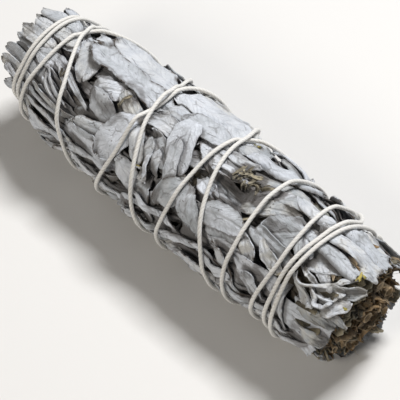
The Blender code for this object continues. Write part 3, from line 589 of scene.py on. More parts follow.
# The outer leaves
# White sage leaves, long and narrow, dried to a pale velvety grey-green and laid along the bunch, their tips
# to the far end. The side that shows is laid leaf by leaf from these rows, and the rest is laid evenly.
TIP_END_LEAVES = (
    (19, 10, 7, 8, 4.4), (20, 43, 5.5, 46, 3.4), (19, 78, 6, 74, 4.4, 0.5), (20, 96, 7, 92, 4.4),
    (19, -40, 6.5, -38, 4.6), (24, 33, 2.6, 33, 3.2, 0, 1.0), (21, 24, 4.8, 24, 4.8, 0, 0.5),
    (21, -10, 4.2, -11, 5.6, 0, 1.6), (20, 54, 3.4, 54, 4.8, 0.4), (20, 66, 4.2, 66, 4.0),
    (25, 5, 14, 5, 4.4), (26, 34, 14.6, 33, 5.4),
)
SPRIG_HOLLOW_STRIPS = (
    (38, 34, 22, 27, 3.0), (34, 58, 22, 42, 2.4), (30, 58, 21, 49, 3.4), (37, 67, 21, 62, 2.6, 0.8),
    (34, 78, 20, 72, 2.8, -0.8, 0.5), (36, 92, 20, 84, 4.0, 1.0), (38, 106, 20, 102, 4.6),
)
TIP_SIDE_LEAVES = (
    (56, -26, 28, -27, 9.0), (52, 95, 35, 97, 5.0), (55, 9, 30, 9, 6.4), (24, -16, 32, 30, 7.0, -0.8),
    (35, 36, 45, 14, 5.2), (37, 31, 48, 46, 6.4), (54, 28, 45, 14, 4.4),
    (57, -2, 26.5, -4, 6.6, -0.6, 1.3), (36, 67, 50, 60, 3.0, 0, 0.8), (50, 50, 36.5, 62, 3.6, 0, 0.8),
    (52, 82, 33, 80, 6.4, 1.0), (52.5, 25, 47.5, 73, 8.4),
)
MIDDLE_LEAVES = (
    (74, -46, 54, -44, 6.5), (55, -3, 72, -16, 6.0), (52, -22, 77, -33, 8.0), (69, 7, 53, 8, 4.4),
    (69, 17, 53.5, 17, 4.4, 0.6), (76, -12, 62, -3, 6.0), (58, 26, 67, 42, 5.4),
    (65, 62, 63.5, 34, 3.4, 0, 0.6), (61, 60, 60, 31, 4.0, 0, 0.6), (54, 28, 60, 56, 5.0),
    (64.5, -6, 70, 42, 6.8, 0.5), (71, 62, 66.5, 20, 3.6), (54, 88, 64, 80, 3.4), (53, 64, 63, 82, 6.4),
    (66, 94, 68, 66, 2.2, 0, 0.8), (71, 98, 70, 66, 2.2, 0, 0.8), (63, 60, 66, 106, 5.4),
    (74, 40, 70, 74, 6.4),
)
CUT_SIDE_LEAVES = (
    (76, -12, 82, -36, 5.0), (80, -3, 100, -15, 9.0, -0.6), (79, -16, 98, -44, 4.2, 0.8, 1.2),
    (74, 3, 86, -1, 1.8, 0, 0.3, "crumpled"), (75, 9, 86, 4, 1.8, 0, 0.3, "crumpled"),
    (77, 20, 91, 22, 6.0, 0.5), (88, 25, 97.5, -8, 8.0), (88, 29, 102, 3, 4.2, -0.6),
    (107, 4, 98, 34, 7.6), (79, 34, 90, 36, 3.4), (74, 30, 82, 36, 4.2), (74, 86, 88, 72, 6.0),
    (75, 42, 81, 74, 6.0), (82, 60, 98, 45, 6.6, -1.2), (80, 54, 94, 42, 6.2, -1.0), (87, 68, 97, 62, 4.4),
    (86, 78, 97, 76, 4.4), (86, 92, 97, 88, 5.0), (74, 98, 87, 96, 5.6), (94, 34, 108, 40, 4.4),
    (94, 44, 99, 60, 4.4), (94, 92, 110, 95, 5.0), (94, 80, 109, 82, 4.6), (94, 66, 108, 66, 4.6),
)
CUT_END_LEAVES = (
    (95, 1, 104.5, -9, 3.2, 0, 1.0), (97, -12, 109, -14, 3.4, 2.0, 0.8), (106, -36, 113, -30, 5.0),
    (105, 14, 111, 26, 3.0, 0, 0.6), (112, 62, 124, 60, 4.4), (107, 90, 120, 112, 5.6),
    (108, 78, 123.5, 80, 7.0), (109, 58, 112, 106, 3.8, 0.8), (108, -24, 123.5, -24, 6.0, 0, 0.5),
    (107, 8, 122, 10, 4.4, 0, 1.4), (107, -3, 124.4, -9, 4.4, 0, 1.5),
)
UNDER_SIDE = (
    (34, 177, 20, 183, 8.0), (60.5, 184, 48, 178, 8.0), (86.5, 177, 72.5, 183, 8.0),
    (33, 182, 20, 182, 9.5, 0, 0.8), (59.5, 182, 47.5, 182, 9.5, 0, 0.8),
    (85.5, 182, 72.5, 182, 9.5, 0, 0.8),
)

# Narrow shrivelled leaves and bare stalks in the hollow near the tips, and small ones between large ones
SMALL_SPRIGS = (
    (21, 38, 33, 58, 1.3, 0.8, 0.7, "rolled"), (22, 31, 38, 50, 1.2, -0.6, 0.7, "rolled"),
    (21, 44, 31, 62, 1.3, 0.6, 0.7, "rolled"), (24, 30, 30, 47, 1.0, 0.3, 0.6, "rolled"),
    (36, 48, 27, 31, 1.9, 0.3, 0.9, "rolled"), (36, 66, 19, 62, 1.8, 0.5, 0.6, "rolled"),
    (33, 72, 19, 68, 1.6, -0.5, 0.6, "rolled"), (34, 84, 19, 76, 2.0, 0.5, 0.5, "crumpled"),
    (36, 92, 20, 86, 2.6, -0.8, 0.4, "crumpled"), (48, 98, 36, 96, 2.6, 0.6, 0.4, "crumpled"),
    (46, 62, 38, 67, 1.8, 0, 0.5, "rolled"), (60, 56, 64, 62, 2.6, 0, 0.3, "crumpled"),
    (62, 40, 64, 58, 2.2, 0.4, 0.5, "crumpled"), (73, 8, 86, 2, 6.5, 0.4, 0.1, "crumpled"),
    (76, 14, 87, 9, 1.6, -0.4, 0.5, "crumpled"), (74, 0, 86, -5, 2.4, 0.4, 0.3, "crumpled"),
    (78, 45, 84, 72, 3.2, 0.6, 0.2, "crumpled"), (84, 88, 96, 86, 3.0, 0.5, 0.3, "crumpled"),
    (70, 108, 58, 106, 3.4, 0.8, 0.3, "crumpled"), (90, 108, 78, 104, 3.6, 0.8, 0.3, "crumpled"),
    (105, 10, 110, 30, 2.2, 1.0, 0.6, "crumpled"), (99, 38, 107, 52, 3.2, 0.5, 0.3, "crumpled"),
)


def far_side_leaves():
    """The leaves of the side that doesn't show: scattered evenly, tips towards the tip end."""
    rng = np.random.default_rng(41)
    found = []
    for row, station in enumerate(np.arange(22.0, 119.0, 8.0)):
        for column in range(5):
            angle = 128 + column * 38 + (19 if row % 2 else 0) + rng.uniform(-8, 8)
            root = station + rng.uniform(-4, 4)
            tip = max(root - rng.uniform(14, 24), rng.uniform(2.5, 8))
            turned, width, bow = angle + rng.normal(0, 11), rng.uniform(4.2, 8.2), rng.uniform(-1.5, 1.5)
            found.append(Leaf(root, angle, tip, turned, width, bow))
    for angle in (134, 156, 175, 196, 216, 238, 258, 279, 300, 318):
        tip, turned, width = rng.uniform(119.5, 123), angle + rng.uniform(-8, 8), rng.uniform(4.0, 6.5)
        found.append(Leaf(108.5, angle, tip, turned, width))
    return found


def shaded_strips():
    """Narrow shrivelled leaves crowded over the under edge of the side that shows."""
    rng = np.random.default_rng(53)
    found = []
    for root in np.arange(18.0, 119.0, 1.9):
        angle = rng.uniform(84, 128)
        tip = max(root - rng.uniform(7, 15), 7.0)
        form = rng.choice(("rolled", "crumpled", "crumpled"))
        turned, width, bow = angle + rng.normal(0, 17), rng.uniform(1.5, 3.6), rng.normal(0, 1.0)
        found.append(Leaf(root, angle, tip, turned, width, bow, 0.35, form))
    return found


sage_look = leaf_look(
    "sage_leaf", (0.388, 0.412, 0.433), (0.69, 0.721, 0.775), (0.56, 0.53, 0.44), (0.065, 0.049, 0.037),
    vein_depth=0.4, roughness=0.72, sheen=0.25,
)
OUTER_SPACING, OUTER_STEP = 0.34, 0.45
MOST_ARCHED = 0.8
outer = packed_leaves(23, (7.0, 21.0), (0.1, 0.8), (3.5, 6.5), 0.15, 0.6, loose=True)
shown_rows = TIP_END_LEAVES + SPRIG_HOLLOW_STRIPS + TIP_SIDE_LEAVES + MIDDLE_LEAVES + CUT_SIDE_LEAVES
shown_leaves = [Leaf(*row) for row in shown_rows + CUT_END_LEAVES]
shown_leaves += shaded_strips() + [Leaf(*row) for row in SMALL_SPRIGS + UNDER_SIDE]
for seed, leaves in ((6, far_side_leaves()), (5, shown_leaves)):
    for number, leaf in enumerate(leaves, 35):
        rng = np.random.default_rng([seed, number])
        if leaf.form == "flat" and leaf.arch >= MOST_ARCHED:
            leaf = leaf._replace(form="rolled") if leaf.width < 6 else leaf._replace(arch=0.4)
        *laid, owner = lay_leaf(leaf, rng, OUTER_SPACING, OUTER_STEP)
        outer[owner].append(laid)
for stem, laid in outer.items():
    leaves = leaf_mesh(f"outer_leaves_{stem + 1}", laid, sage_look)
    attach(leaves, "root")
    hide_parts(f"leafy_stem_{stem + 1}")
    to_bind.append(leaves)

# The chopped end
# The stems and leaves are chopped through together, so the end is a low dome of cut leaf edges, curled and
# crushed, brown and ochre towards its middle. Cut stems stand in it, with flakes and loose fibres between.


def catmull(points, count):
    """A smooth run of count points through a few."""
    points = np.asarray(points, float)
    padded = np.concatenate([2 * points[:1] - points[1:2], points, 2 * points[-1:] - points[-2:-1]])
    marks = np.linspace(0, len(points) - 1.0001, count)
    i, t = marks.astype(int), (marks % 1)[:, None]
    p0, p1, p2, p3 = (padded[i + k] for k in range(4))
    square, cube = 2 * p0 - 5 * p1 + 4 * p2 - p3, 3 * p1 - 3 * p2 + p3 - p0
    return 0.5 * (2 * p1 + (p2 - p0) * t + square * t**2 + cube * t**3)


def turned_to_bed(offsets, centre):
    """Flat station, arc and radius of points given in millimetres along, round and out from a centre."""
    station, angle, radius = centre
    along, sideways, out = np.moveaxis(offsets, -1, 0)
    turn = np.arctan2(sideways, radius + out)
    return stack(station + along, arc(angle) + turn * ARC_RADIUS, np.hypot(sideways, radius + out))


def turn_between(angle, other):
    """Degrees from one angle to another, the short way round."""
    return (angle - other + 180) % 360 - 180


CURL_ROOT = 5.0


def cut_curl(rng, angle, radius, grey):
    """The cut end of one leaf, curled, on edge in the dome, pale where cut and darkened further in as painted
    shade.
    """
    length = rng.uniform(3.5, 8.5)
    t = np.linspace(-0.5, 0.5, 15)
    bend = rng.uniform(-1, 1) * rng.choice((0.4, 1.2, 3.0))
    bend = bend + 2.2 * np.sin(t * rng.uniform(3, 12) + rng.uniform(0, 6)) * rng.uniform(0.1, 1)
    heading = rng.normal(0, 0.8) + bend * t
    path = np.cumsum(stack(np.cos(heading), np.sin(heading)) * length / (len(t) - 1), axis=0)
    path -= path.mean(axis=0)
    depth = np.array([0, 0.4, 0.7, 0.85, 0.95, 1.0])
    proud = rng.uniform(-2.0, 2.0) + 0.4 * waves(rng, t * length, 0 * t, 2.0)
    lean = rng.normal(0, 0.3, 2)
    flare = 1 + 0.15 * rng.uniform(-1, 1.5) * depth[:, None]
    run = -CURL_ROOT + depth[:, None] * (CURL_ROOT + proud[None, :])
    across = path[None, :, 0] * flare + lean[0] * (run + CURL_ROOT)
    out = path[None, :, 1] * flare + lean[1] * (run + CURL_ROOT)
    grid = turned_to_bed(stack(run, across, out), (cut_end_station(radius), angle, radius))
    tone = rng.uniform(0.1, 0.7) if grey else rng.uniform(0.1, 1.0)
    faded = 0.3 if grey else rng.uniform(0.0, 1.0) ** 2 * 1.4
    # Painted shade: the tone and the dark edge mark both deepen further into the end, away from the cut.
    inner = 1 - depth[:, None] ** 2 + 0 * run
    tint = stack(tone * (0.05 + 0.95 * depth[:, None] ** 3) + 0 * run, faded + 0 * run, inner)
    return grid, np.clip(tint, 0, 1), stack(run, t * length + 0 * run, 2 * t + 0 * run)


def cut_stem(rng, centre, lean, length, proud, thick, hollow, skin=0.3):
    """A stem chopped across: a round woody skin with a paler end, and a pith that has shrunk or is gone."""
    profile = np.array([
        (-length, 1.0), (-length / 2, 1.0), (proud - 0.3, 1.04), (proud, 1.0), (proud + 0.05, 0.86),
        (proud - hollow, 0.6), (proud - 1.3 * hollow, 0.3), (proud - 1.4 * hollow, 0.03),
    ])
    turn = np.linspace(0, 2 * math.pi, 15)
    knobbly = 1 + 0.06 * waves(rng, 3 * np.cos(turn), 3 * np.sin(turn), 2.0)
    wide = thick * profile[:, 1][:, None] * knobbly[None, :]
    run = profile[:, 0][:, None] + 0.1 * np.cos(turn + rng.uniform(0, 6))[None, :]
    across, out = wide * np.cos(turn) + lean[0] * run, wide * np.sin(turn) + lean[1] * run
    grid = turned_to_bed(stack(run, across, out), centre)
    # The skin is darker further back from the cut; the pith darkens down into its hollow as painted shade.
    shades = np.array([skin, skin + 0.1, skin + 0.3, 1.0, 1.0, 0.7, 0.35, 0.2])
    shade = shades[:, None] + 0 * run
    tint = stack(shade, 0.6 * shade, 0.5 - 0.5 * shade)
    return grid[:, ::-1], tint, stack(run, turn * thick + 0 * run, 0 * run)


def flake(rng, angle, radius, size, proud):
    """A small bent flake of dry leaf, lying any way up on the dome."""
    u, v = np.meshgrid(np.linspace(-1, 1, 5), np.linspace(-1, 1, 4), indexing="ij")
    ragged = 1 + 0.25 * waves(rng, u * 2, v * 2, 2.0)
    bent = rng.uniform(-0.5, 0.5) * size * (u**2 + v * u)
    flat = stack(u * size * ragged, v * size * 0.5 * ragged, bent)
    spin = Matrix.Rotation(rng.uniform(0, 6.3), 3, "X") @ Matrix.Rotation(rng.normal(0, 0.7), 3, "Y")
    spin = spin @ Matrix.Rotation(rng.uniform(0, 6.3), 3, "Z")
    offsets = flat @ np.array(spin).T
    offsets[..., 0] += proud
    grid = turned_to_bed(offsets, (cut_end_station(radius), angle, radius))
    tint = np.broadcast_to((rng.uniform(0.1, 1), rng.uniform(0, 1), rng.uniform(0, 0.6)), grid.shape)
    return grid, tint, stack(u * size, v * size, v)


def hair(rng, start, heading, length, thick):
    """A thin dry fibre, three-sided, bending as it goes."""
    t = np.linspace(0, 1, 7)
    path = np.asarray(heading)[None, :] * (t * length)[:, None]
    path = path + rng.normal(0, 0.22, 3)[None, :] * (length * t**2)[:, None]
    path = path + rng.normal(0, 0.1, 3)[None, :] * np.sin(t * 5)[:, None]
    turn = np.arange(4) * 2 * math.pi / 3
    ring = stack(0 * turn, np.cos(turn), np.sin(turn)) * thick
    ring[:, 0] = ring[:, 1] * 0.5
    offsets = path[:, None] + ring[None] * (1 - 0.7 * t)[:, None, None]
    return turned_to_bed(offsets, start)


chopped_look = leaf_look(
    "chopped_leaf", (0.026, 0.018, 0.010), (0.47, 0.37, 0.245), (0.38, 0.225, 0.085), (0.026, 0.018, 0.010),
    vein_depth=0.2, roughness=0.85, sheen=0.1,
)
chopped_grey = leaf_look(
    "chopped_grey_leaf", (0.032, 0.028, 0.018), (0.46, 0.415, 0.31), (0.31, 0.25, 0.135),
    (0.03, 0.024, 0.016), vein_depth=0.3, roughness=0.8, sheen=0.15,
)
GREYEST = 115
CUT_RADIUS, STUB_RUN = 14.0, 6.0
FLAKES, FIBRES, CRUMBS = 220, 150, 26
grey_curls, brown_curls = [], []
rng = np.random.default_rng(17)
for ring_radius in np.arange(2.6, 14.2, 1.9):
    for angle in np.arange(0, 360, 360 / max(5, round(2 * math.pi * ring_radius / 2.9))):
        at, out = angle + rng.uniform(-9, 9), ring_radius + rng.uniform(-0.8, 0.8)
        greyest = np.interp(abs(turn_between(at, GREYEST)), (60, 130), (1, 0.25))
        grey = rng.uniform() < np.interp(ring_radius, (3, 11), (0.35, 1.0)) * greyest
        (grey_curls if grey else brown_curls).append(cut_curl(rng, at, out, grey))
flakes = []
for _ in range(FLAKES):
    radius = CUT_RADIUS * math.sqrt(rng.uniform(0.01, 1))
    flakes.append(flake(rng, rng.uniform(0, 360), radius, rng.uniform(0.4, 1.8), rng.uniform(-1.2, 0.9)))
stubs = []
for stem in range(STEMS):
    start, end = seam_angle(stem, LENGTH), seam_angle(stem + 1, LENGTH)
    stubs.append(((start + (end - start) / 2) % 360, 7.9, 1.4))
stubs.append((40.0, 0.3, 1.4))
stubs += [(angle, 11.0, 1.0) for angle in (28.0, 74.0, 133.0, 250.0)]
stems = []
for angle, radius, thick in stubs:
    centre = (cut_end_station(radius), angle, radius)
    lean, proud = rng.normal(0, 0.06, 2), rng.uniform(0.6, 1.4)
    stems.append(cut_stem(rng, centre, lean, STUB_RUN, proud, thick, rng.uniform(0.1, 0.9)))
for name, laid, look, thick in (
    ("cut_leaf_curls", grey_curls, chopped_grey, 0.3),
    ("cut_leaf_ends", brown_curls, chopped_look, 0.3),
    ("cut_flakes", flakes, chopped_look, 0.16),
    ("cut_stems", stems, chopped_look, 0.1),
):
    piece = leaf_mesh(name, laid, look, thick)
    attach(piece, "root")
    to_bind.append(piece)


def fibre_look():
    """Dry plant fibre, straw brown and dull."""
    made, tree, shader = new_material("dry_fibre")
    bloom = add_node(tree, "ShaderNodeGroup", node_tree=DUSTY_BLOOM).outputs
    colour = blend(tree, bloom["Blotches"], (0.16, 0.10, 0.05), (0.50, 0.40, 0.25))
    tree.links.new(colour, shader.inputs["Base Color"])
    shader.inputs["Roughness"].default_value = 0.8
    return made


# The curled leaf ends
# Loose pale leaf ends between the string and the chopped end, twisted and curled back. Round the tip end the
# same strips fill the inside. Each row is a path, a width, a twist, a cup and a tone.
RIBBONS = (
    (((110, 42, 15.6), (112.2, 46, 16.8), (115.1, 41, 17), (118.8, 30, 16.6), (120.3, 21, 16.4),
      (122.5, 11, 15.6)),
     2, (0.4, 3.6), 0.5, 0.7),
    (((106.5, 26, 15.2), (111.4, 35, 16.2), (113.4, 37, 16.2), (116, 39, 15)), 1.3, (0.2, 0.5), 0.3, 0.8),
    (((107, 15, 15.4), (113.7, 24, 16.2), (115.7, 28, 16.4), (118.6, 33, 15)), 3.2, (-0.3, 0.2), -0.5, 0.8),
    (((115.5, 46, 14.8), (120, 37, 15.6), (123, 26, 15.4), (125.6, 14, 14.4)), 3.4, (0.5, 0.9), 0.9, 0.15),
    (((116, 42, 15), (120, 40, 16), (120.8, 33, 16.8), (122.2, 28, 15.8)), 3.2, (-0.5, 0.7), 0.8, 0.9),
    (((115.6, 42, 15.2), (117.1, 46, 16.4), (118.9, 51, 16.8), (120.4, 50, 16.6), (121.2, 42, 16.4)),
     1.9, (0.9, 1.5), 0.9, 0.8),
    (((118.5, 52, 14.6), (121.5, 49, 15.8), (123.4, 40, 16.2), (125, 33, 14.6)), 4.4, (0.4, -0.7), 0.8, 0.9),
    (((116, 50, 14.8), (120.6, 52, 15.4), (124.4, 53, 14.9), (127.2, 55, 13.4)), 2.2, (0.2, 0.8), 0.4, 0.2),
    (((113, 66, 15), (117, 63, 15.8), (121, 62, 15.2), (124.6, 63, 13.6)), 3.4, (0.3, -0.5), 0.5, 0.1),
    (((113, 88, 15.4), (118, 87, 16), (122, 85, 14.8), (124, 83, 13.2)), 3.6, (0.3, -0.9), 0.5, 0.3),
    (((114, 8, 15.8), (119, 4, 16.4), (123, 1, 15.6), (125.5, 0, 14)), 3, (0.6, -0.8), 0.4, 0.6),
)


def ribbon(rng, path, width, twist, cup, tone):
    """A narrow leaf end that leaves the bunch: a strip along a curved path, twisted and cupped."""
    rows, columns = 36, 8
    line = catmull(path, rows)
    metric = stack(line[:, 0], np.radians(line[:, 1]) * line[:, 2], line[:, 2])
    forward = np.gradient(metric, axis=0)
    forward /= np.linalg.norm(forward, axis=1)[:, None]
    aside = np.cross(forward, (0, 0, 1))
    aside /= np.linalg.norm(aside, axis=1)[:, None]
    out = np.cross(aside, forward)
    along, across = np.meshgrid(np.linspace(0, 1, rows), np.linspace(-1, 1, columns + 1), indexing="ij")
    turn = (twist[0] + (twist[1] - twist[0]) * along)[..., None]
    half = width / 2 * (1 + 0.15 * waves(rng, along * 9, 3 * np.sign(across), 3.0))
    half = half * np.clip(1.15 - along**6, 0.3, 1)
    lift = cup * (across**2) + 0.15 * waves(rng, along * 10, across * half, 2.5)
    flat, up = (across * half)[..., None], lift[..., None]
    offset = (flat * np.cos(turn) - up * np.sin(turn)) * aside[:, None]
    offset = offset + (flat * np.sin(turn) + up * np.cos(turn)) * out[:, None]
    station = line[:, 0][:, None] + offset[..., 0]
    around = arc(line[:, 1])[:, None] + offset[..., 1] * ARC_RADIUS / line[:, 2][:, None]
    radius = line[:, 2][:, None] + offset[..., 2]
    bed.cover(station, around, radius, 0)
    rim = np.clip(np.abs(across) * 3 - 2, 0, 1) * 0.6
    tint = stack(tone + 0 * along, 0.5 + 0 * along, rim)
    return stack(station, around, radius), tint, stack(along * 10, across * half, across)


ribbons = [ribbon(rng, *given) for given in RIBBONS]
ribbons.append(cut_stem(rng, (118.3, 59, 16.0), (0.37, 0.0), 7.0, 0.3, 1.35, 1.4, skin=0.7))
INNER_TIPS = ((2.0, 3), (4.8, 7), (7.4, 10), (9.8, 13))
for ring_radius, count in INNER_TIPS:
    for angle in np.arange(count) * 360 / count:
        at, out = angle + rng.uniform(-10, 10), ring_radius + rng.uniform(-0.6, 0.6)
        tip = rng.uniform(2.8, 8.5)
        near, far = at + rng.normal(0, 4), at + rng.normal(0, 7)
        path = ((22, at, out + 0.6), (14, near, out + 0.3), (tip, far, out))
        width, twist = rng.uniform(2.6, 4.6), (0.0, rng.normal(0, 0.7))
        ribbons.append(ribbon(rng, path, width, twist, rng.uniform(0.4, 1.3), rng.uniform(0, 0.7)))
ribbons = leaf_mesh("curled_leaf_ends", ribbons, sage_look, 0.3)
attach(ribbons, "root")
to_bind.append(ribbons)

# Crumbs, bits and fibres
# Crumbs of stem and leaf are caught in the torn hollow among the outer leaves, with a few yellow-green bits.
# Dry straw-brown fibres stick out of the chopped end.
CRUMB_PLACES = [(rng.uniform(82, 90), rng.uniform(0, 13)) for _ in range(CRUMBS)]
CRUMB_PLACES += [(108, 46), (92, 36), (46, 20), (27, 40)] * 3
crumbs = []
for station, angle in CRUMB_PLACES:
    run, turn = rng.normal(0, 1.3), rng.normal(0, 6)
    width = rng.uniform(0.7, 1.4)
    crumb = Leaf(station, angle, station + run + 0.8, angle + turn, width, 0, 0.2, "crumpled")
    crumbs.append(lay_leaf(crumb, rng, 0.1, 0.3, rng.uniform(0.2, 1))[:3])
crumbs = leaf_mesh("caught_crumbs", crumbs, chopped_grey, 0.15)
yellow_look = leaf_look(
    "yellow_green_leaf", (0.20, 0.17, 0.04), (0.52, 0.46, 0.14), (0.50, 0.30, 0.06), (0.10, 0.07, 0.02),
    vein_depth=0.3, roughness=0.8, sheen=0.1,
)
YELLOW_BITS = ((77, -39), (75.5, -36), (60, 56), (121.6, 3), (122.4, 5), (124.2, 40))
bits = []
for station, angle in YELLOW_BITS:
    turned, width = angle + rng.normal(0, 5), rng.uniform(0.6, 1.1)
    bit = Leaf(station, angle, station + 1.2, turned, width, 0, 0.3, "crumpled")
    bits.append(lay_leaf(bit, rng, 0.1, 0.3, rng.uniform(0.2, 1))[:3])
bits = leaf_mesh("yellow_green_bits", bits, yellow_look, 0.2)
for piece in (crumbs, bits):
    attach(piece, "root")
    to_bind.append(piece)

fibre_finish = fibre_look()
hairs = []
for _ in range(FIBRES):
    radius = 13.4 * math.sqrt(rng.uniform(0.05, 1))
    start = (cut_end_station(radius) - 0.5, rng.uniform(0, 360), radius)
    heading = (rng.uniform(0.2, 1), rng.normal(0, 0.6), rng.normal(0.2, 0.6))
    grid = hair(rng, start, heading, rng.uniform(1.5, 4.2), rng.uniform(0.05, 0.1))
    hairs.append((grid, np.full(grid.shape, 0.5), np.zeros(grid.shape)))
fibres = leaf_mesh("cut_end_fibres", hairs, fibre_finish, 0.03)
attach(fibres, "root")
to_bind.append(fibres)

# The string and the binding
# One length of undyed cotton twine, three plies twisted together, wound up the bunch and back and pulled
# tight. It bites into the leaves, and its two ends are tied in an overhand knot on the far side.
STRING_RADIUS = 0.52
STRING_BITE = 0.5
STRING_STANDS = 0.3
STRING_STEP = 2.0
CROSSING_BITE, BITE_BEND = 0.8 / 3, 0.05
CROSSING_RISE, RISE_BEND = 0.85, 0.09
CROSSING_APART = 14
TAUT_REACH, TAUT_BEND = 14, 0.045
PRESS_REACH, PRESS_BEND = 20, 0.10
AXIS_HEIGHT = 16.0
FLOOR_DROP = 16.629
STRING_CLEAR = 0.3
SHIFT = np.array([-1.867, -0.298, 0.629])
STRING_TURNS = (
    ((-85, 110.6), (-30, 111.2), (20, 110.9), (60, 109.9), (100, 109.6), (210, 108)),
    ((-25, 104.3), (10, 105.9), (45, 106), (70, 104.8), (100, 103.2), (210, 99)),
    ((-30, 93), (20, 93.8), (60, 94.6), (95, 94.2), (210, 94), (255, 91.5)),
    ((-35, 74.5), (10, 74.2), (60, 73.8), (80, 72.6), (105, 70.2), (210, 68.4), (255, 65.5)),
    ((-30, 52.6), (0, 53.4), (30, 53.5), (60, 52.8), (85, 50.7), (110, 47.8), (210, 43.8), (255, 40)),
    ((-20, 20.3), (20, 20), (50, 19.4), (80, 17.6), (105, 15.9), (210, 16.2)),
    ((-30, 13.2), (30, 13.9), (60, 13.6), (90, 12.7), (110, 11.9), (210, 12.2)),
    ((-30, 14.7), (30, 15.4), (60, 15.1), (90, 14.3), (110, 14), (210, 14.2)),
    ((-25, 19.2), (0, 22.2), (20, 26.2), (40, 30), (60, 32.2), (85, 33.9), (110, 35.4), (210, 37.4),
     (255, 39.6)),
    ((-30, 50.9), (0, 53.6), (20, 55.6), (40, 58.3), (60, 60.7), (80, 62.4), (105, 64), (210, 63.6),
     (255, 64.2)),
    ((-30, 75), (0, 77.4), (30, 80.3), (50, 82.4), (70, 84.8), (85, 86.8), (105, 88.6), (210, 89.2),
     (255, 90.6)),
    ((-52, 109.4), (-25, 109.8), (10, 109.7), (30, 109.1), (50, 108.5), (75, 108), (100, 107.2), (210, 106.4),
     (258.5, 108.2)),
)


def string_route():
    """Station and running angle of the string along its whole length, with its bends rounded."""
    angles = [angle + 360 * turn for turn, marks in enumerate(STRING_TURNS) for angle, _ in marks]
    stations = [station for marks in STRING_TURNS for _, station in marks]
    fine = np.arange(angles[0], angles[-1], STRING_STEP)
    straight = np.interp(fine, angles, stations)
    weights = np.exp(-((np.arange(-8, 9) / 4.5) ** 2))
    padded = np.pad(straight, 8, mode="edge")
    return np.convolve(padded, weights / weights.sum(), mode="valid"), fine


def floor_radius(angle):
    """Radius at which a place on the under side would touch the floor."""
    return FLOOR_DROP / np.maximum(np.cos(np.radians(turn_between(angle, 180))), 0.25)


def string_radii(stations, angles):
    """Radius of the string's centre along its route: taut over the leaves and the turns wound before it."""
    step = math.radians(STRING_STEP) * ARC_RADIUS
    on_leaves = bed.highest(stations, arc(angles), 0.4)
    reach = np.arange(-TAUT_REACH, TAUT_REACH + 1)
    padded = np.pad(on_leaves, TAUT_REACH, mode="edge")
    windows = np.lib.stride_tricks.sliding_window_view(padded, len(reach))
    crest = np.max(windows - TAUT_BEND * (reach * step) ** 2, axis=1)
    weights = np.exp(-((reach * step / 4.0) ** 2))
    taut = np.convolve(np.pad(crest, TAUT_REACH, mode="edge"), weights / weights.sum(), mode="valid")
    centre = np.minimum(taut - STRING_BITE, outline_radius(stations) + STRING_STANDS) + STRING_RADIUS
    centre = np.minimum(centre, floor_radius(angles) - STRING_RADIUS - STRING_CLEAR)
    along = np.arange(len(centre)) * step

    def crossed_by(n, reach):
        """Earlier places that lie within reach of a place on the route, and how far aside they are."""
        past = np.flatnonzero(along < along[n] - CROSSING_APART)
        aside = np.hypot(stations[past] - stations[n], arc(turn_between(angles[past], angles[n])))
        return past[aside < reach], aside[aside < reach]

    for n in range(len(centre)):
        for crossed in crossed_by(n, STRING_RADIUS)[0][:1]:
            bitten = centre[crossed] - CROSSING_BITE + BITE_BEND * (along - along[crossed]) ** 2
            centre = np.minimum(centre, bitten)
    for n in range(len(centre)):
        over, aside = crossed_by(n, 2 * STRING_RADIUS)
        if len(over):
            rise = np.sqrt((2 * STRING_RADIUS) ** 2 - aside**2)
            need = (centre[over] + CROSSING_RISE * rise).max()
            ramp = need - RISE_BEND * ((np.arange(len(centre)) - n) * step) ** 2
            later = np.arange(len(centre)) > n - 12
            centre = np.where(later, np.maximum(centre, ramp), centre)
    return centre


def smoothed(field, reach):
    """A field over the bed, blurred by reach millimetres, running on round the bunch."""
    steps = np.arange(-round(2 * reach / CELL), round(2 * reach / CELL) + 1)
    weights = np.exp(-((steps * CELL / reach) ** 2))
    weights /= weights.sum()
    around = sum(w * np.roll(field, s, axis=1) for s, w in zip(steps, weights))
    padded = np.pad(around, ((len(steps) // 2, len(steps) // 2), (0, 0)), mode="edge")
    return sum(w * padded[i : i + len(field)] for i, w in enumerate(weights))


def widened(field, times):
    """A field over the bed with each cell raised to its highest neighbour, this many times."""
    for _ in range(times):
        for axis in (0, 1):
            field = np.maximum(field, np.maximum(np.roll(field, 1, axis), np.roll(field, -1, axis)))
    return field


def string_limit(stations, angles, centre):
    """Over the bed: how high the leaves may stand, under the string and beside it."""
    cap = np.full(bed.radius.shape, 99.0)
    window = np.arange(-PRESS_REACH, PRESS_REACH + 1)
    for station, angle, radius in zip(stations, angles, centre):
        row, column = bed.cell(station, arc(angle))
        rows = np.clip(row + window, 0, len(bed.stations) - 1)
        columns = (column + window) % bed.columns
        aside = arc(turn_between(bed.angles[columns], angle))
        away = np.hypot(bed.stations[rows][:, None] - station, aside[None, :])
        under = radius - STRING_RADIUS + 0.05 + PRESS_BEND * np.maximum(0, away - 0.4) ** 2
        cells = np.ix_(rows, columns)
        cap[cells] = np.minimum(cap[cells], under)
    return cap


def read_field(field, station, around):
    """A field over the bed at given places, between its cells."""
    row = np.clip((station + MARGIN) / CELL, 0, len(field) - 1.001)
    column = (around / GIRTH * bed.columns) % bed.columns
    i, j = row.astype(int), column.astype(int)
    u, v = row - i, column - j
    k = (j + 1) % bed.columns
    near = field[i, j % bed.columns] * (1 - u) + field[i + 1, j % bed.columns] * u
    far = field[i, k] * (1 - u) + field[i + 1, k] * u
    return near * (1 - v) + far * v


def place(station, around, radius):
    """The point in metres at a station, an arc round the bunch and a radius from its axis."""
    angle = np.asarray(around) / ARC_RADIUS
    x = np.asarray(station) - LENGTH / 2 + 0 * angle
    y = -np.asarray(radius) * np.sin(angle)
    z = AXIS_HEIGHT + np.asarray(radius) * np.cos(angle)
    return (stack(x, y, z) + SHIFT) * 0.001


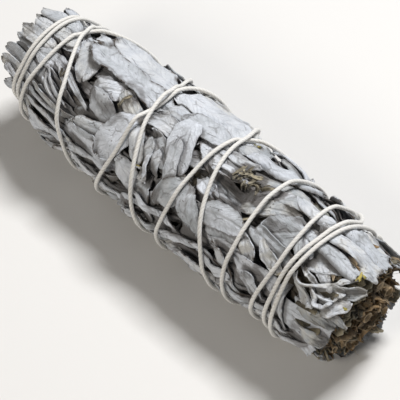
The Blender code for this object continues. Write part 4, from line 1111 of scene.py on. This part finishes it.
INNER_RADIUS = 8.0
LEAVES_STAND = 0.8
FLOOR_GAP = 0.35
# Crests of the leaves close by and further round, used for the painted shade in the gaps.
near_crest = smoothed(widened(bed.radius, 1), 0.25)
far_crest = smoothed(widened(bed.radius, 3), 0.5)
outline = outline_radius(bed.stations)[:, None]
past_leaves = (bed.stations < 9) | (bed.stations > 117)
bed.radius = np.maximum(bed.radius, np.where(past_leaves[:, None], outline - 0.6, 0))
loose_top = smoothed(widened(bed.radius, 2), 0.8)
drawn_in = (outline - INNER_RADIUS) / (smoothed(widened(bed.radius, 3), 6.0) - INNER_RADIUS)
drawn_in = np.clip(drawn_in, 0.55, 1.2)
bed.radius = INNER_RADIUS + (bed.radius - INNER_RADIUS) * drawn_in
string_stations, string_angles = string_route()
string_centre = string_radii(string_stations, string_angles)
tight_top = np.minimum.reduce([
    INNER_RADIUS + (loose_top - INNER_RADIUS) * drawn_in,
    outline + LEAVES_STAND + 0 * loose_top,
    string_limit(string_stations, string_angles, string_centre),
    floor_radius(bed.angles)[None, :] - FLOOR_GAP + 0 * loose_top,
])


def pressed(station, around, radius):
    """A radius after the binding: the leaves are drawn in, under the string and off the floor."""
    loose, tight = read_field(loose_top, station, around), read_field(tight_top, station, around)
    share = (tight - INNER_RADIUS) / (loose - INNER_RADIUS)
    inside = np.where(radius > INNER_RADIUS, INNER_RADIUS + (radius - INNER_RADIUS) * share, radius)
    return np.minimum(inside, tight + 0.1)


for piece in to_bind:
    flat = np.empty(len(piece.data.vertices) * 3, np.float32)
    piece.data.vertices.foreach_get("co", flat)
    station, around, radius = flat.reshape(-1, 3).astype(float).T
    wrapped = place(station, around, pressed(station, around, radius))
    piece.data.vertices.foreach_set("co", wrapped.astype(np.float32).ravel())
    # Painted shade: points well below the leaves round them, beside a covering leaf's edge or down in a deep
    # hole, are marked darker; the chopped end gets none, and it fades out towards the tips.
    near = np.clip((read_field(near_crest, station, around) - radius - 0.5) / 0.4, 0, 0.75)
    far = np.clip((read_field(far_crest, station, around) - radius - 1.9) / 1.2, 0, 1)
    depth = np.maximum(near, far)
    depth = 0 * depth if piece.name.startswith("cut_") else 0.8 * depth * np.clip((station - 2) / 6, 0, 1)
    add_attribute(piece.data, "buried", "FLOAT", "value", depth)
    piece.data.update()


def twine_look():
    """Undyed cotton: warm white fibres that run with the twist, a few dark specks, and painted shade between
    the plies.
    """
    made, tree, shader = new_material("cotton_twine")
    on_string = add_node(tree, "ShaderNodeAttribute", attribute_name="on_string").outputs["Vector"]
    parts = add_node(tree, "ShaderNodeSeparateXYZ", {"Vector": on_string}).outputs
    bloom = add_node(tree, "ShaderNodeGroup", node_tree=DUSTY_BLOOM).outputs
    fibres = noise(tree, on_string, 3.0, 4.0)
    # Painted shade: the twine is darker in the grooves between its plies.
    ply_gap_shade = between(tree, parts["Z"], 0.0, 0.6)
    colour = blend(tree, ply_gap_shade, (0.52, 0.50, 0.45), (0.80, 0.79, 0.76))
    colour = blend(tree, between(tree, fibres, 0.35, 0.7, 0.0, 0.5), colour, (0.60, 0.58, 0.53))
    colour = blend(tree, maths(tree, "MULTIPLY", bloom["Specks"], 0.3), colour, (0.3, 0.24, 0.16))
    tree.links.new(colour, shader.inputs["Base Color"])
    tree.links.new(between(tree, fibres, 0.3, 0.7, 0.72, 0.92), shader.inputs["Roughness"])
    height = maths(tree, "MULTIPLY_ADD", bloom["Felt"], 0.5, fibres)
    bump = add_node(tree, "ShaderNodeBump", {"Height": height, "Strength": 0.5, "Distance": 0.0001})
    tree.links.new(bump.outputs["Normal"], shader.inputs["Normal"])
    shader.inputs["Sheen Weight"].default_value = 0.3
    shader.inputs["Specular IOR Level"].default_value = 0.2
    return made


PLIES, PLY_TWIST, TWINE_SIDES = 3, 3.4, 18


def twine(name, points, look, step):
    """A three-ply twine through points in metres: its plies show as ridges that wind along it."""
    points = np.asarray(points) * 1000
    run = np.concatenate([[0], np.cumsum(np.linalg.norm(np.diff(points, axis=0), axis=1))])
    marks = np.linspace(0, run[-1], max(4, round(run[-1] / step)))
    centre = stack(*(np.interp(marks, run, axis) for axis in points.T))
    forward = np.gradient(centre, axis=0)
    forward /= np.linalg.norm(forward, axis=1)[:, None]
    side = np.zeros_like(forward)
    side[0] = np.cross(forward[0], (0.3, 0.2, 0.9))
    for n in range(1, len(side)):
        side[n] = side[n - 1] - forward[n] * np.dot(side[n - 1], forward[n])
        side[n] /= np.linalg.norm(side[n])
    side[0] /= np.linalg.norm(side[0])
    other = np.cross(forward, side)
    turn = np.arange(TWINE_SIDES) * 2 * math.pi / TWINE_SIDES
    ridge = np.abs(np.cos(PLIES / 2 * (turn[None, :] - 2 * math.pi * marks[:, None] / PLY_TWIST)))
    wide = STRING_RADIUS * (0.88 + 0.12 * ridge)
    taper = np.clip(np.minimum(marks, marks[-1] - marks) / 0.5, 0.3, 1)
    wide = wide * taper[:, None]
    rings = centre[:, None] + wide[..., None] * (
        np.cos(turn)[None, :, None] * side[:, None] + np.sin(turn)[None, :, None] * other[:, None]
    )
    number = np.arange(rings.shape[0] * TWINE_SIDES).reshape(-1, TWINE_SIDES)
    near, far = number[:-1], number[1:]
    faces = stack(near, np.roll(near, -1, 1), np.roll(far, -1, 1), far).reshape(-1, 4).tolist()
    faces += [number[0][::-1].tolist(), number[-1].tolist()]
    mesh = bpy.data.meshes.new(name)
    mesh.from_pydata((rings.reshape(-1, 3) * 0.001).tolist(), [], faces)
    wound = turn[None, :] / (2 * math.pi) * 8 - marks[:, None] / PLY_TWIST * 8
    on_string = stack(marks[:, None] * 0.35 + 0 * wide, wound, ridge)
    add_attribute(mesh, "on_string", "FLOAT_VECTOR", "vector", on_string)
    return add_piece(name, mesh, look)


twine_finish = twine_look()
string_line = place(string_stations, arc(string_angles), string_centre)
binding = twine("binding_twine", string_line, twine_finish, step=0.35)
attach(binding, "root")
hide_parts("string")

KNOT_SCALE, KNOT_TAIL, KNOT_OPEN = 0.0008, 0.0026, 0.42
low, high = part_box("string_knot")
knot_centre = (low + high) / 2
out = Vector((0, knot_centre.y + 0.0003, knot_centre.z - FLOOR_DROP * 0.001)).normalized()
ahead = Vector((1, 0, 0))
knot_points = []
for t in np.linspace(KNOT_OPEN, 2 * math.pi - KNOT_OPEN, 60):
    x, y, z = math.sin(t) + 2 * math.sin(2 * t), math.cos(t) - 2 * math.cos(2 * t), -math.sin(3 * t)
    knot_points.append(knot_centre + KNOT_SCALE * (x * ahead + y * out.cross(ahead) + z * out))
first_tail = knot_points[0] + (knot_points[0] - knot_points[1]).normalized() * KNOT_TAIL
last_tail = knot_points[-1] + (knot_points[-1] - knot_points[-2]).normalized() * KNOT_TAIL
knot_points = [first_tail, *knot_points, last_tail]
knot = twine("binding_knot", knot_points, twine_finish, step=0.2)
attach(knot, "root")
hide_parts("string_knot")
